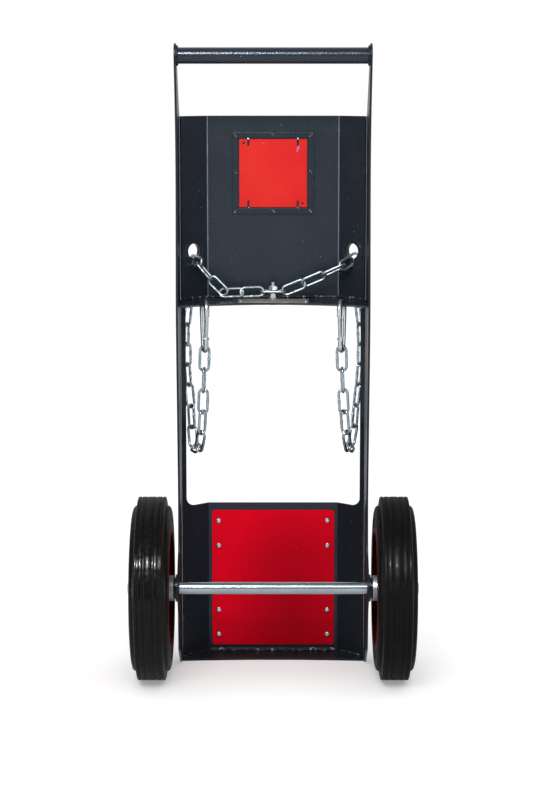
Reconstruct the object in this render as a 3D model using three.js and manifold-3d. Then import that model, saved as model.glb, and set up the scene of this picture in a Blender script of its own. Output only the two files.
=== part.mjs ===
// A two-wheeled welding cart: a bent back sheet between two side plates, a toe plate to load on,
// a push handle, solid rubber wheels on a fixed axle, and a securing chain led through two keyholes.
// Millimetres, +Z up. The load stands on the +Y side and the operator walks on the -Y side.
import * as THREE from "three";
import { mergeVertices } from "three/addons/utils/BufferGeometryUtils.js";
import Module from "manifold-3d";

const wasm = await Module();
wasm.setup();

// Clearances
const seatGap = 0.25; // between pieces that rest on or are welded to each other
const runGap = 0.3; // round a shaft, in a bore or between chain links
const screwPlay = 0.4; // round a screw shank in its hole
const toolPast = 10; // how far a cutting tool runs past the faces it cuts

// Facets round a turned piece
const wheelFacets = 24;
const shaftFacets = 16;

// Frame
const frameWidth = 300;
const sidePlateThickness = 2.5;
const panelThickness = 2.5;
const sectionWidth = 45; // of each angled section, seen from behind
const panelRearFace = 145; // distance of the flat stretch in front of the axle
const panelDepth = 40; // how far the angled sections lead back from the flat stretch
const panelTop = 879;
const bendRadius = 5; // inside the two long bends
const handleRise = 93; // of the handle above the panel's top
const handleForward = 10;
const handleDiameter = 25;
const handleWall = 2;
const handleEndRadius = 16; // of the plate round each end of the handle
const axleLobeRadius = 21; // of the plate round the axle
const footRear = 87; // where the plate's cut-back lower corner meets the ground
const heelHeight = 38; // top of that cut
const heelRear = 21;
const shoulderRear = 23; // where the plate's rear edge passes the top of the panel
const upperWaistDrop = 90; // below the panel's top
const upperWaistRear = 31;
const bellyHeight = 565;
const bellyRear = 10;
const lowerWaistHeight = 286;
const lowerWaistRear = 43;
const flareHeight = 205; // where the rear edge begins to sweep out to the axle
const flareRear = 34;
const lobeTopHeight = 180; // where that sweep runs into the round of the axle
const lobeBottomHeight = 104;
const heelTopHeight = 70; // where the rear edge below the axle turns straight down
const heelTopRear = 17;

// Window between the upper and the lower panel
const windowBottom = 252;
const windowDrop = 9; // of the window's upper edge below the shelf's top
const railWidth = 9.5; // what is left of each angled section beside the window, seen from behind
const windowCorner = 14;

// Toe plate and shelf
const toeThickness = 4;
const toeReach = 260; // in front of the back panel
const toeCorner = 12;
const toeRearMiddle = 97;
const toeRearCorner = 90;
const shelfTop = 589;
const shelfThickness = 3;
const shelfRearMiddle = 56;
const shelfRearCorner = 11;

// Axle and wheels
const axleDiameter = 20;
const wheelDiameter = 288;
const wheelOffset = 40; // of the wheel's middle from the side plate
const tyreWidth = 61;
const treadWidth = 43;
const treadGroove = 1.6;
const grooveMiddle = 16; // from the middle of the tread
const grooveHalf = 1;
const shoulderDrop = 9; // from the tread down to the foot of its shoulder
const stepDrop = 13; // down to the step between the shoulder and the sidewall
const wallDrop = 30; // down to the widest part of the sidewall
const rimSeatRadius = 92;
const rimLip = 5;
const rimSheet = 3;
const rimDish = 22; // from the rim's lip to the sloping web
const hubDiameter = 40;
const hubBore = 31;
const hubLength = 52;
const bossFlangeDiameter = 43;
const bossFlangeThickness = 3;
const bossNeckDiameter = 34;
const bossLength = 6;
const innerWashers = 2;
const outerWasherThickness = 2.5;
const capDiameter = 32;
const capLength = 11;
const capBrim = 2;
const capCrownDiameter = 26;
const capTopDiameter = 16;
const rollerCount = 8;
const cageThickness = 2;
const cageInset = 4; // from each end of the hub
const rollerInset = 6;

// Red plates and their fasteners
const redPlateThickness = 2;
const lowerPlateInset = 5; // from each long bend
const lowerPlateHeight = 226;
const lowerPlateCentre = 127;
const lowerPlateCorner = 4;
const screwInset = 11; // from the plate's side edges
const screwRowInsets = [17.5, 59]; // from the plate's top and bottom edges
const screwDiameter = 5;
const screwHeadDiameter = 8.5;
const screwHeadHeight = 2.6;
const screwCrownDiameter = 5; // flat top of the pan head
const screwReach = 4; // past the front of the panel
const screwChamfer = 0.6;
const upperPlateSize = 108;
const upperPlateDrop = 91; // of its middle below the panel's top
const upperFrameWidth = 9; // of each bar of the frame
const upperFrameThickness = 3;
const upperFrameGap = 2; // between the red plate and its frame
const slotWidth = 3.6;
const slotLength = 11;
const slotColumn = 39.5;
const locatingHoleDiameter = 4;
const locatingHoleColumn = 47;
const locatingHoleRow = 48;

// Chain
const wire = 4;
const linkInside = 34; // the chain's pitch
const linkWidth = 17.5;
const linkFuse = 0.5; // how far neighbouring links of one stretch sink into each other
const swagLinks = 4;
const loopLinks = 15;
const upperLinks = 2; // of the loop, lying against the panel above the window
const swagDroop = { left: 30, right: 14 }; // degrees below level at which each swag bulges to the rear
const hangAngle = 85; // degrees below level, round the slot link's crown, where the free end hangs
const keyholeRise = 76; // of the keyhole's round above the shelf's top
const keyholeDiameter = 24;
const keyholeSlot = 7;
const keyholeDrop = 25; // from the middle of the round to the foot of the slot
const keyholeRingDiameter = 40;
const keyholeRingThickness = 4;

// Bolt that holds the middle of the chain
const boltDiameter = 8;
const boltForward = 112;
const boltRise = 28; // of the bolt's free end above the shelf's top
const boltHeadAcross = 13;
const boltHeadHeight = 5.3;
const nutHeight = 6.5;
const boltWasherDiameter = 16;
const boltWasherThickness = 1.6;
const blankPlateLength = 112;
const blankPlateThickness = 1.5;
const blankPlateEdge = 1; // from the shelf's rear edge and from the bolt's washer

// Carabiners
const hookLength = 80;
const hookWire = 8;
const hookTopRadius = 14;
const hookEyeRadius = 8;
const hookOutside = 2; // of the carabiner outside the long bend
const hookTurn = 14; // degrees out of the fore-and-aft plane
const hookInset = 2.5; // from the shelf's rear edge
const hookHoleDiameter = 14.5;
const limbShare = 0.86; // of the top radius, at which the limb crosses the shelf
const gateDiameter = 7;
const gatePinDiameter = 3;
const gateTongue = 3;
const gateFoot = 23; // height of the gate's pin above the carabiner's lower end
const gateTip = 57; // height of the gate's upper end
const gateNose = 0.8; // between the gate's upper end and the body
const gateHeel = 4.8; // from the pin down to the gate's lower end
const forkHeight = 13.2; // of the slot in the gate's foot

// Sizes that follow from those above
const plateInside = frameWidth / 2 - sidePlateThickness;
const panelHalf = frameWidth / 2 - sectionWidth;
const panelEdge = plateInside - seatGap;
const handleHeight = panelTop + handleRise;
const upperWaistHeight = panelTop - upperWaistDrop;
const upperPlateCentre = panelTop - upperPlateDrop;
const windowTop = shelfTop - windowDrop;
const keyholeHeight = shelfTop + keyholeRise;
const keyholeBottom = keyholeHeight - keyholeDrop;
const boltEnd = shelfTop + boltRise;
const hookSide = panelHalf + hookOutside;
const wheelCentre = frameWidth / 2 + wheelOffset;
const lowerPlateWidth = (panelHalf - lowerPlateInset) * 2;
const screwColumn = lowerPlateWidth / 2 - screwInset;
const upperFrameInside = upperPlateSize + upperFrameGap * 2;
const upperFrameSize = upperFrameInside + upperFrameWidth * 2;
const sectionSlope = panelDepth / (plateInside - panelHalf);
const sectionAngle = Math.atan(sectionSlope);
const panelSideDepth = panelThickness / Math.cos(sectionAngle);
const plateFront = panelRearFace - panelDepth + panelSideDepth + seatGap;
const panelFrontFace = panelRearFace + panelThickness;
const toeFront = panelFrontFace + toeReach;
const wheelRadius = wheelDiameter / 2;
const axleHeight = wheelRadius;
const bossStart = frameWidth / 2 + seatGap;
const hubStart = wheelCentre - hubLength / 2;
const washerRoom = hubStart - seatGap - bossStart - bossLength;
const washerThickness = washerRoom / innerWashers - seatGap;
const outerWasherStart = wheelCentre + hubLength / 2 + seatGap;
const capStart = outerWasherStart + outerWasherThickness + seatGap;
const axleEnd = capStart + capLength * 0.6;
const keyholeSide = (panelHalf + plateInside) / 2;
const footprintMiddle = (toeFront - wheelRadius) / 2;

const paint = new THREE.MeshStandardMaterial({ color: 0x2b3138, roughness: 0.55, metalness: 0.2 });
const redPaint = new THREE.MeshStandardMaterial({ color: 0xc81420, roughness: 0.5, metalness: 0.0 });
const rubber = new THREE.MeshStandardMaterial({ color: 0x141416, roughness: 0.6, metalness: 0.0 });
const zinc = new THREE.MeshStandardMaterial({ color: 0xb8c2c8, roughness: 0.3, metalness: 0.9 });
const blackSteel = new THREE.MeshStandardMaterial({ color: 0x17181a, roughness: 0.5, metalness: 0.5 });
const bareSteel = new THREE.MeshStandardMaterial({ color: 0x8c857c, roughness: 0.35, metalness: 0.9 });

const cart = new THREE.Group();
const placed = new THREE.Group();
placed.position.y = -footprintMiddle;
cart.add(placed);

function addPiece(name, geometry, material) {
  const mesh = new THREE.Mesh(geometry, material);
  mesh.name = name;
  placed.add(mesh);
}

// A closed geometry as a solid for cutting and joining, and back again.
function solidOf(geometry) {
  const bare = geometry.clone();
  bare.deleteAttribute("normal");
  bare.deleteAttribute("uv");
  const merged = mergeVertices(bare, 1e-4);
  const vertProperties = new Float32Array(merged.attributes.position.array);
  const triVerts = new Uint32Array(merged.index.array);
  return new wasm.Manifold(new wasm.Mesh({ numProp: 3, vertProperties, triVerts }));
}

function geometryOf(solid) {
  const mesh = solid.getMesh();
  const geometry = new THREE.BufferGeometry();
  geometry.setAttribute("position", new THREE.BufferAttribute(new Float32Array(mesh.vertProperties), 3));
  geometry.setIndex(new THREE.BufferAttribute(new Uint32Array(mesh.triVerts), 1));
  return geometry;
}

function cut(geometry, tools) {
  let solid = solidOf(geometry);
  for (const tool of tools) solid = solid.subtract(solidOf(tool));
  return geometryOf(solid);
}

function join(geometries) {
  let solid = solidOf(geometries[0]);
  for (const other of geometries.slice(1)) solid = solid.add(solidOf(other));
  return geometryOf(solid);
}

function extrude(shape, depth, curveSegments = 6) {
  return new THREE.ExtrudeGeometry(shape, { depth, bevelEnabled: false, curveSegments });
}

function roundHole(x, y, radius) {
  const hole = new THREE.Path();
  for (let i = 0; i <= shaftFacets; i += 1) {
    const angle = (i * Math.PI * 2) / shaftFacets;
    const corner = [x + radius * Math.cos(angle), y + radius * Math.sin(angle)];
    if (i === 0) hole.moveTo(...corner);
    else hole.lineTo(...corner);
  }
  return hole;
}

// A flat outline drawn in Y and Z, thickened along X from a given place.
function plateAcross(shape, start, thickness, curveSegments) {
  const turn = new THREE.Matrix4().makeBasis(
    new THREE.Vector3(0, 1, 0),
    new THREE.Vector3(0, 0, 1),
    new THREE.Vector3(1, 0, 0),
  );
  return extrude(shape, thickness, curveSegments).applyMatrix4(turn).translate(start, 0, 0);
}

// A flat outline drawn in X and Z, thickened rearwards from its front face.
function plateFacingRear(shape, frontFace, thickness, curveSegments) {
  return extrude(shape, thickness, curveSegments).rotateX(Math.PI / 2).translate(0, frontFace, 0);
}

// A round piece turned about the axle, from [along, radius] corners of its half section.
function turnedAboutX(corners, segments) {
  let area = 0;
  corners.forEach(([a, r], i) => {
    const [nextA, nextR] = corners[(i + 1) % corners.length];
    area += a * nextR - nextA * r;
  });
  const ordered = area > 0 ? [...corners].reverse() : corners;
  const points = [...ordered, ordered[0]].map(([a, r]) => new THREE.Vector2(r, a));
  return new THREE.LatheGeometry(points, segments).rotateZ(-Math.PI / 2);
}

function ringAboutX(start, end, innerRadius, outerRadius, segments) {
  const corners = [
    [start, innerRadius],
    [end, innerRadius],
    [end, outerRadius],
    [start, outerRadius],
  ];
  return turnedAboutX(corners, segments);
}

function roundedRectangle(width, height, corner, centreX = 0, centreY = 0) {
  const x = centreX - width / 2;
  const y = centreY - height / 2;
  const shape = new THREE.Shape();
  shape.moveTo(x + corner, y);
  shape.lineTo(x + width - corner, y);
  shape.absarc(x + width - corner, y + corner, corner, -Math.PI / 2, 0);
  shape.lineTo(x + width, y + height - corner);
  shape.absarc(x + width - corner, y + height - corner, corner, 0, Math.PI / 2);
  shape.lineTo(x + corner, y + height);
  shape.absarc(x + corner, y + height - corner, corner, Math.PI / 2, Math.PI);
  shape.lineTo(x, y + corner);
  shape.absarc(x + corner, y + corner, corner, Math.PI, Math.PI * 1.5);
  return shape;
}

function uprightCylinder(radius, bottom, top, x, y, segments) {
  const height = top - bottom;
  return new THREE.CylinderGeometry(radius, radius, height, segments)
    .rotateX(Math.PI / 2)
    .translate(x, y, bottom + height / 2);
}

function cylinderAlongY(radius, rear, front, x, z, segments) {
  const length = front - rear;
  return new THREE.CylinderGeometry(radius, radius, length, segments).translate(x, rear + length / 2, z);
}

function mirrored(geometry) {
  const copy = mergeVertices(geometry).scale(-1, 1, 1);
  const index = copy.index.array;
  const flipped = [];
  for (let i = 0; i < index.length; i += 3) flipped.push(index[i], index[i + 2], index[i + 1]);
  copy.setIndex(flipped);
  return copy;
}

// The same piece on both sides of the cart, drawn once on the +X side.
function addPair(name, geometry, material) {
  addPiece(`right_${name}`, geometry, material);
  addPiece(`left_${name}`, mirrored(geometry), material);
}

// Side plates

function sidePlate() {
  const outline = new THREE.Shape();
  outline.moveTo(footRear, 0);
  outline.lineTo(plateFront, 0);
  outline.lineTo(plateFront, panelTop);
  outline.lineTo(handleForward + handleEndRadius, handleHeight - handleEndRadius / 4);
  outline.absarc(handleForward, handleHeight, handleEndRadius, 0, Math.PI);
  outline.splineThru([
    new THREE.Vector2(shoulderRear, panelTop),
    new THREE.Vector2(upperWaistRear, upperWaistHeight),
    new THREE.Vector2((upperWaistRear + bellyRear) / 2, (upperWaistHeight + bellyHeight) / 2),
    new THREE.Vector2(bellyRear, bellyHeight),
    new THREE.Vector2((lowerWaistRear + bellyRear) / 2, (lowerWaistHeight + bellyHeight) / 2),
    new THREE.Vector2(lowerWaistRear, lowerWaistHeight),
    new THREE.Vector2(flareRear, flareHeight),
    new THREE.Vector2(axleLobeRadius / 2, lobeTopHeight),
    new THREE.Vector2(-axleLobeRadius * Math.SQRT1_2, axleHeight + axleLobeRadius * Math.SQRT1_2),
  ]);
  outline.absarc(0, axleHeight, axleLobeRadius, Math.PI * 0.75, Math.PI * 1.25);
  outline.splineThru([
    new THREE.Vector2(axleLobeRadius / 2, lobeBottomHeight),
    new THREE.Vector2(heelTopRear, heelTopHeight),
    new THREE.Vector2(heelRear, heelHeight),
  ]);
  outline.holes.push(roundHole(0, axleHeight, axleDiameter / 2 + runGap));
  return plateAcross(outline, plateInside, sidePlateThickness, 4);
}

addPair("side_plate", sidePlate(), paint);

// Handle: a tube open at both ends, welded between the plates
{
  const half = plateInside - seatGap;
  const tube = ringAboutX(-half, half, handleDiameter / 2 - handleWall, handleDiameter / 2, shaftFacets);
  addPiece("handle_tube", tube.translate(0, handleForward, handleHeight), paint);
}

// Back panel: one sheet with two long bends, a window, two keyholes and eight screw holes

// The sheet's section, offset forwards from its rear face, with each long bend as an arc.
function panelFace(shape, offset, fromLeft) {
  const halfAngle = sectionAngle / 2;
  const side = fromLeft ? -1 : 1;
  const edgeY = panelRearFace - sectionSlope * (panelEdge - panelHalf) + offset / Math.cos(sectionAngle);
  const radius = bendRadius + offset;
  const reach = radius * Math.tan(halfAngle);
  const inset = radius / Math.cos(halfAngle) - radius;
  const points = [];
  const bendY = panelRearFace + offset;
  const bendX = panelHalf + offset * Math.tan(halfAngle);
  points.push([side * panelEdge, edgeY]);
  for (const sign of [side, -side]) {
    const along = [bendX + reach * Math.cos(sectionAngle), bendY - reach * Math.sin(sectionAngle)];
    const flat = [bendX - reach, bendY];
    const middle = [bendX - inset * Math.sin(halfAngle), bendY - inset * Math.cos(halfAngle)];
    const bend = sign === side ? [along, middle, flat] : [flat, middle, along];
    bend.forEach(([x, y]) => points.push([sign * x, y]));
  }
  points.push([-side * panelEdge, edgeY]);
  points.forEach(([x, y], i) => {
    if (i === 0 && fromLeft) shape.moveTo(x, y);
    else shape.lineTo(x, y);
  });
}

const upward = new THREE.Vector3(0, 0, 1);
const sectionOut = new THREE.Vector3(Math.sin(sectionAngle), Math.cos(sectionAngle), 0); // right-hand section

// Places a drawing made flat on the right angled section: x across the sheet, y up, z out of its front.
function onAngledSection(height) {
  const across = new THREE.Vector3().crossVectors(upward, sectionOut);
  const middleY = panelRearFace - sectionSlope * (keyholeSide - panelHalf);
  return new THREE.Matrix4()
    .makeBasis(across, upward, sectionOut)
    .setPosition(keyholeSide, middleY, height);
}

function keyholeOutline() {
  const round = keyholeDiameter / 2;
  const half = keyholeSlot / 2;
  const meet = Math.asin(half / round);
  const shape = new THREE.Shape();
  shape.absarc(0, 0, round, -Math.PI / 2 + meet, Math.PI * 1.5 - meet);
  shape.absarc(0, keyholeBottom - keyholeHeight + half, half, Math.PI, Math.PI * 2);
  return shape;
}

// The keyhole as a cutting tool that runs well past both faces of the sheet.
function keyholeTool() {
  return extrude(keyholeOutline(), toolPast * 2, 8)
    .translate(0, 0, -toolPast)
    .applyMatrix4(onAngledSection(keyholeHeight));
}

function screwPlaces() {
  const half = lowerPlateHeight / 2;
  const upperRows = screwRowInsets.map((inset) => half - inset);
  const rows = [...upperRows, ...upperRows.map((row) => -row).reverse()];
  return rows.flatMap((row) => [-screwColumn, screwColumn].map((x) => [x, lowerPlateCentre + row]));
}

function screwHoles(rear, front) {
  const radius = screwDiameter / 2 + screwPlay;
  return screwPlaces().map(([x, z]) => cylinderAlongY(radius, rear, front, x, z, 8));
}

{
  const section = new THREE.Shape();
  panelFace(section, 0, true);
  panelFace(section, panelThickness, false);
  const bottom = toeThickness + seatGap;
  const sheet = extrude(section, panelTop - bottom).translate(0, 0, bottom);
  const windowHalf = frameWidth / 2 - railWidth;
  const opening = roundedRectangle(
    windowHalf * 2,
    windowTop - windowBottom,
    windowCorner,
    0,
    (windowTop + windowBottom) / 2,
  );
  const windowTool = plateFacingRear(opening, panelFrontFace + toolPast, panelDepth + toolPast * 3, 4);
  const rightKeyhole = keyholeTool();
  const tools = [windowTool, rightKeyhole, mirrored(rightKeyhole)];
  tools.push(...screwHoles(panelRearFace - toolPast, panelFrontFace + toolPast));
  addPiece("back_panel", cut(sheet, tools), paint);
}

// Keyhole rings, welded to the front of the angled sections
{
  const disc = new THREE.CylinderGeometry(
    keyholeRingDiameter / 2,
    keyholeRingDiameter / 2,
    keyholeRingThickness,
    shaftFacets,
  );
  const start = panelThickness + seatGap;
  const ring = disc
    .rotateX(Math.PI / 2)
    .translate(0, 0, start + keyholeRingThickness / 2)
    .applyMatrix4(onAngledSection(keyholeHeight));
  addPair("keyhole_ring", cut(ring, [keyholeTool()]), paint);
}

// Toe plate and shelf: flat plates between the side plates

// An arc from the left to the right corner, hollow towards the rear.
function hollowEdge(shape, half, cornerY, middleY) {
  const rise = middleY - cornerY;
  const radius = (half * half + rise * rise) / (2 * rise);
  const centre = middleY - radius;
  const reach = Math.asin(half / radius);
  shape.absarc(0, centre, radius, Math.PI / 2 + reach, Math.PI / 2 - reach, true);
}

{
  const inner = plateInside - seatGap;
  const outer = frameWidth / 2;
  const step = plateFront + seatGap;
  const outline = new THREE.Shape();
  hollowEdge(outline, inner, toeRearCorner, toeRearMiddle);
  outline.lineTo(inner, step);
  outline.lineTo(outer, step);
  outline.lineTo(outer, toeFront - toeCorner);
  outline.absarc(outer - toeCorner, toeFront - toeCorner, toeCorner, 0, Math.PI / 2);
  outline.absarc(-outer + toeCorner, toeFront - toeCorner, toeCorner, Math.PI / 2, Math.PI);
  outline.lineTo(-outer, step);
  outline.lineTo(-inner, step);
  addPiece("toe_plate", extrude(outline, toeThickness, 8), paint);
}

// Each carabiner hangs over the shelf's rear edge, one limb through a hole.
function shelfEdgeAt(x) {
  const half = plateInside - seatGap;
  const rise = shelfRearMiddle - shelfRearCorner;
  const radius = (half * half + rise * rise) / (2 * rise);
  return shelfRearMiddle - radius + Math.sqrt(radius * radius - x * x);
}

const hookMiddle = shelfEdgeAt(hookSide) + hookInset;
const hookTurnAngle = THREE.MathUtils.degToRad(hookTurn);
const limbReach = hookTopRadius * limbShare; // from the carabiner's middle to that limb
const rimReach = Math.max(limbReach - hookHoleDiameter / 2, hookInset); // of the rim that it hangs on
const crownInside = hookTopRadius - hookWire / 2;
const crownHeight = hookLength - hookWire / 2 - hookTopRadius;
const hookBottom = shelfTop + seatGap * 2 - crownHeight - Math.sqrt(crownInside ** 2 - rimReach ** 2);

{
  const inner = plateInside - seatGap;
  const front = panelRearFace - seatGap / Math.cos(sectionAngle);
  const frontSide = front - sectionSlope * (inner - panelHalf);
  const bendReach = bendRadius * Math.tan(sectionAngle / 2);
  const outline = new THREE.Shape();
  hollowEdge(outline, inner, shelfRearCorner, shelfRearMiddle);
  outline.lineTo(inner, frontSide);
  outline.lineTo(panelHalf + bendReach, front - sectionSlope * bendReach);
  outline.lineTo(panelHalf - bendReach, front - seatGap);
  outline.lineTo(-panelHalf + bendReach, front - seatGap);
  outline.lineTo(-panelHalf - bendReach, front - sectionSlope * bendReach);
  outline.lineTo(-inner, frontSide);
  const holeX = hookSide + limbReach * Math.sin(hookTurnAngle);
  const holeY = hookMiddle + limbReach * Math.cos(hookTurnAngle);
  for (const side of [-1, 1]) outline.holes.push(roundHole(side * holeX, holeY, hookHoleDiameter / 2));
  outline.holes.push(roundHole(0, boltForward, boltDiameter / 2 + runGap));
  addPiece("shelf", extrude(outline, shelfThickness, 6).translate(0, 0, shelfTop - shelfThickness), paint);
}

// Blank plate on the shelf, a bare steel rectangle along the hollow of the rear edge
{
  const rear = shelfRearMiddle + blankPlateEdge;
  const front = boltForward - boltWasherDiameter / 2 - blankPlateEdge;
  const outline = roundedRectangle(blankPlateLength, front - rear, 3, 0, (front + rear) / 2);
  const geometry = extrude(outline, blankPlateThickness, 3).translate(0, 0, shelfTop + seatGap);
  addPiece("shelf_blank_plate", geometry, bareSteel);
}

// Red plates

{
  const outline = roundedRectangle(
    lowerPlateWidth,
    lowerPlateHeight,
    lowerPlateCorner,
    0,
    lowerPlateCentre,
  );
  const frontFace = panelRearFace - seatGap;
  const plate = plateFacingRear(outline, frontFace, redPlateThickness, 3);
  addPiece("lower_red_plate", cut(plate, screwHoles(frontFace - toolPast, frontFace + toolPast)), redPaint);
}

// Pan-head screws, each turned about its own axis
screwPlaces().forEach(([x, z], i) => {
  const seat = panelRearFace - seatGap * 2 - redPlateThickness;
  const shank = screwDiameter / 2;
  const head = screwHeadDiameter / 2;
  const end = panelFrontFace + screwReach;
  const profile = [
    [0, end],
    [shank, end - screwChamfer],
    [shank, seat],
    [head, seat],
    [head, seat - screwHeadHeight / 2],
    [screwCrownDiameter / 2, seat - screwHeadHeight],
    [0, seat - screwHeadHeight],
  ];
  const points = profile.map(([r, y]) => new THREE.Vector2(r, y)).reverse();
  addPiece(`lower_plate_screw_${i + 1}`, new THREE.LatheGeometry(points, 10).translate(x, 0, z), zinc);
});

{
  const inside = upperFrameInside;
  const outline = roundedRectangle(upperFrameSize, upperFrameSize, 2, 0, upperPlateCentre);
  outline.holes.push(roundedRectangle(inside, inside, 2, 0, upperPlateCentre));
  const ring = plateFacingRear(outline, panelRearFace - seatGap, upperFrameThickness, 2);
  addPiece("upper_plate_frame", ring, paint);
}

// Square plate with two open slots in its top and bottom edges and a locating hole in two corners
{
  const half = upperPlateSize / 2;
  const frontFace = panelRearFace - seatGap;
  const square = roundedRectangle(upperPlateSize, upperPlateSize, 1, 0, upperPlateCentre);
  const plate = plateFacingRear(square, frontFace, redPlateThickness, 2);
  const tools = [];
  for (const x of [-slotColumn, slotColumn]) {
    for (const side of [-1, 1]) {
      const slot = new THREE.BoxGeometry(slotWidth, toolPast * 2, slotLength * 2);
      tools.push(slot.translate(x, frontFace, upperPlateCentre + side * half));
    }
  }
  for (const side of [-1, 1]) {
    const x = side * locatingHoleColumn;
    const z = upperPlateCentre - side * locatingHoleRow;
    const radius = locatingHoleDiameter / 2;
    tools.push(cylinderAlongY(radius, frontFace - toolPast, frontFace + toolPast, x, z, 10));
  }
  addPiece("upper_red_plate", cut(plate, tools), redPaint);
}

// Axle, its bosses, washers and caps

{
  const radius = axleDiameter / 2;
  const chamfer = 1;
  const corners = [
    [-axleEnd, 0],
    [axleEnd, 0],
    [axleEnd, radius - chamfer],
    [axleEnd - chamfer, radius],
    [-axleEnd + chamfer, radius],
    [-axleEnd, radius - chamfer],
  ];
  addPiece("axle", turnedAboutX(corners, shaftFacets).translate(0, 0, axleHeight), zinc);
}

function onAxle(geometry) {
  return geometry.translate(0, 0, axleHeight);
}

const axleBore = axleDiameter / 2 + runGap;

{
  const flangeEnd = bossStart + bossFlangeThickness;
  const corners = [
    [bossStart, axleBore],
    [bossStart + bossLength, axleBore],
    [bossStart + bossLength, bossNeckDiameter / 2],
    [flangeEnd, bossNeckDiameter / 2],
    [flangeEnd, bossFlangeDiameter / 2],
    [bossStart, bossFlangeDiameter / 2],
  ];
  addPair("axle_boss", onAxle(turnedAboutX(corners, shaftFacets)), blackSteel);
}

for (let i = 0; i < innerWashers; i += 1) {
  const start = bossStart + bossLength + seatGap + i * (washerThickness + seatGap);
  const ring = ringAboutX(start, start + washerThickness, axleBore, hubDiameter / 2, shaftFacets);
  addPair(`inner_washer_${i + 1}`, onAxle(ring), zinc);
}

{
  const end = outerWasherStart + outerWasherThickness;
  const ring = ringAboutX(outerWasherStart, end, axleBore, hubDiameter / 2, shaftFacets);
  addPair("outer_washer", onAxle(ring), zinc);
}

// Push-on cap: a domed cup that grips the axle's end
{
  const radius = capDiameter / 2;
  const end = capStart + capLength;
  const floor = axleEnd + seatGap;
  const corners = [
    [floor, 0],
    [floor, axleBore],
    [capStart, axleBore],
    [capStart, radius],
    [capStart + capBrim, radius],
    [capStart + capBrim, capCrownDiameter / 2],
    [floor, capCrownDiameter / 2],
    [end - (end - floor) / 3, capTopDiameter / 2],
    [end, 0],
  ];
  addPair("axle_cap", onAxle(turnedAboutX(corners, shaftFacets)), bareSteel);
}

// Wheels: rubber tyre, two pressed rim halves, hub and roller bearing

// Half section of the tyre on its outer side, from the middle of the tread to the bead.
function tyreCorners() {
  const top = wheelRadius;
  const low = top - treadGroove;
  const tread = treadWidth / 2;
  const side = tyreWidth / 2;
  const bead = rimSeatRadius + runGap;
  const lip = rimSeatRadius + rimLip + runGap;
  const seatEdge = side - rimSheet - runGap;
  const step = tread + treadGroove;
  const round = (side - step) / 2;
  return [
    [grooveMiddle - grooveHalf, top],
    [grooveMiddle, low],
    [grooveMiddle + grooveHalf, top],
    [tread - grooveHalf, top],
    [tread, low],
    [step, top - shoulderDrop],
    [step, top - stepDrop],
    [side - round, top - stepDrop - treadGroove],
    [side - round / 4, top - (stepDrop + wallDrop) / 2],
    [side, top - wallDrop],
    [side, lip + rimSheet],
    [seatEdge, lip],
    [seatEdge, bead],
  ];
}

{
  const outerSide = tyreCorners();
  const innerSide = [...outerSide].reverse().map(([a, r]) => [-a, r]);
  const corners = [...innerSide, ...outerSide].map(([a, r]) => [a + wheelCentre, r]);
  addPair("tyre", onAxle(turnedAboutX(corners, wheelFacets)), rubber);
}

// One pressed half of the rim: web, slope, seat and lip, from the middle plane outwards.
function rimHalf() {
  const middle = seatGap / 2;
  const edge = tyreWidth / 2;
  const seat = rimSeatRadius;
  const bore = hubDiameter / 2 + seatGap;
  const slopeFoot = seat - rimDish;
  const dish = edge - rimDish;
  return [
    [middle, bore],
    [middle + rimSheet, bore],
    [middle + rimSheet, slopeFoot - rimSheet],
    [dish, seat - rimSheet],
    [edge, seat - rimSheet],
    [edge, seat + rimLip],
    [edge - rimSheet, seat + rimLip],
    [edge - rimSheet, seat],
    [dish - rimSheet, seat],
    [middle, slopeFoot],
  ];
}

{
  const outerHalf = rimHalf().map(([a, r]) => [wheelCentre + a, r]);
  const innerHalf = rimHalf().map(([a, r]) => [wheelCentre - a, r]);
  addPair("rim_outer_half", onAxle(turnedAboutX(outerHalf, wheelFacets)), redPaint);
  addPair("rim_inner_half", onAxle(turnedAboutX(innerHalf, wheelFacets)), redPaint);
}

{
  const end = hubStart + hubLength;
  addPair("hub", onAxle(ringAboutX(hubStart, end, hubBore / 2, hubDiameter / 2, shaftFacets)), zinc);
}

// Roller bearing: a cage with its rollers, between the axle and the hub's bore
{
  const inner = axleBore;
  const outer = hubBore / 2 - runGap;
  const middle = (inner + outer) / 2;
  const rollerRadius = (outer - inner) / 2;
  const cageEnd = hubStart + hubLength - cageInset;
  const cageInner = middle - cageThickness / 2;
  const cage = ringAboutX(hubStart + cageInset, cageEnd, cageInner, cageInner + cageThickness, shaftFacets);
  const pieces = [cage];
  for (let i = 0; i < rollerCount; i += 1) {
    const angle = (i * Math.PI * 2) / rollerCount;
    const roller = new THREE.CylinderGeometry(rollerRadius, rollerRadius, hubLength - rollerInset * 2, 6);
    roller.rotateZ(Math.PI / 2);
    pieces.push(roller.translate(wheelCentre, middle * Math.cos(angle), middle * Math.sin(angle)));
  }
  addPair("roller_bearing", onAxle(join(pieces)), blackSteel);
}

// Chain

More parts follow.
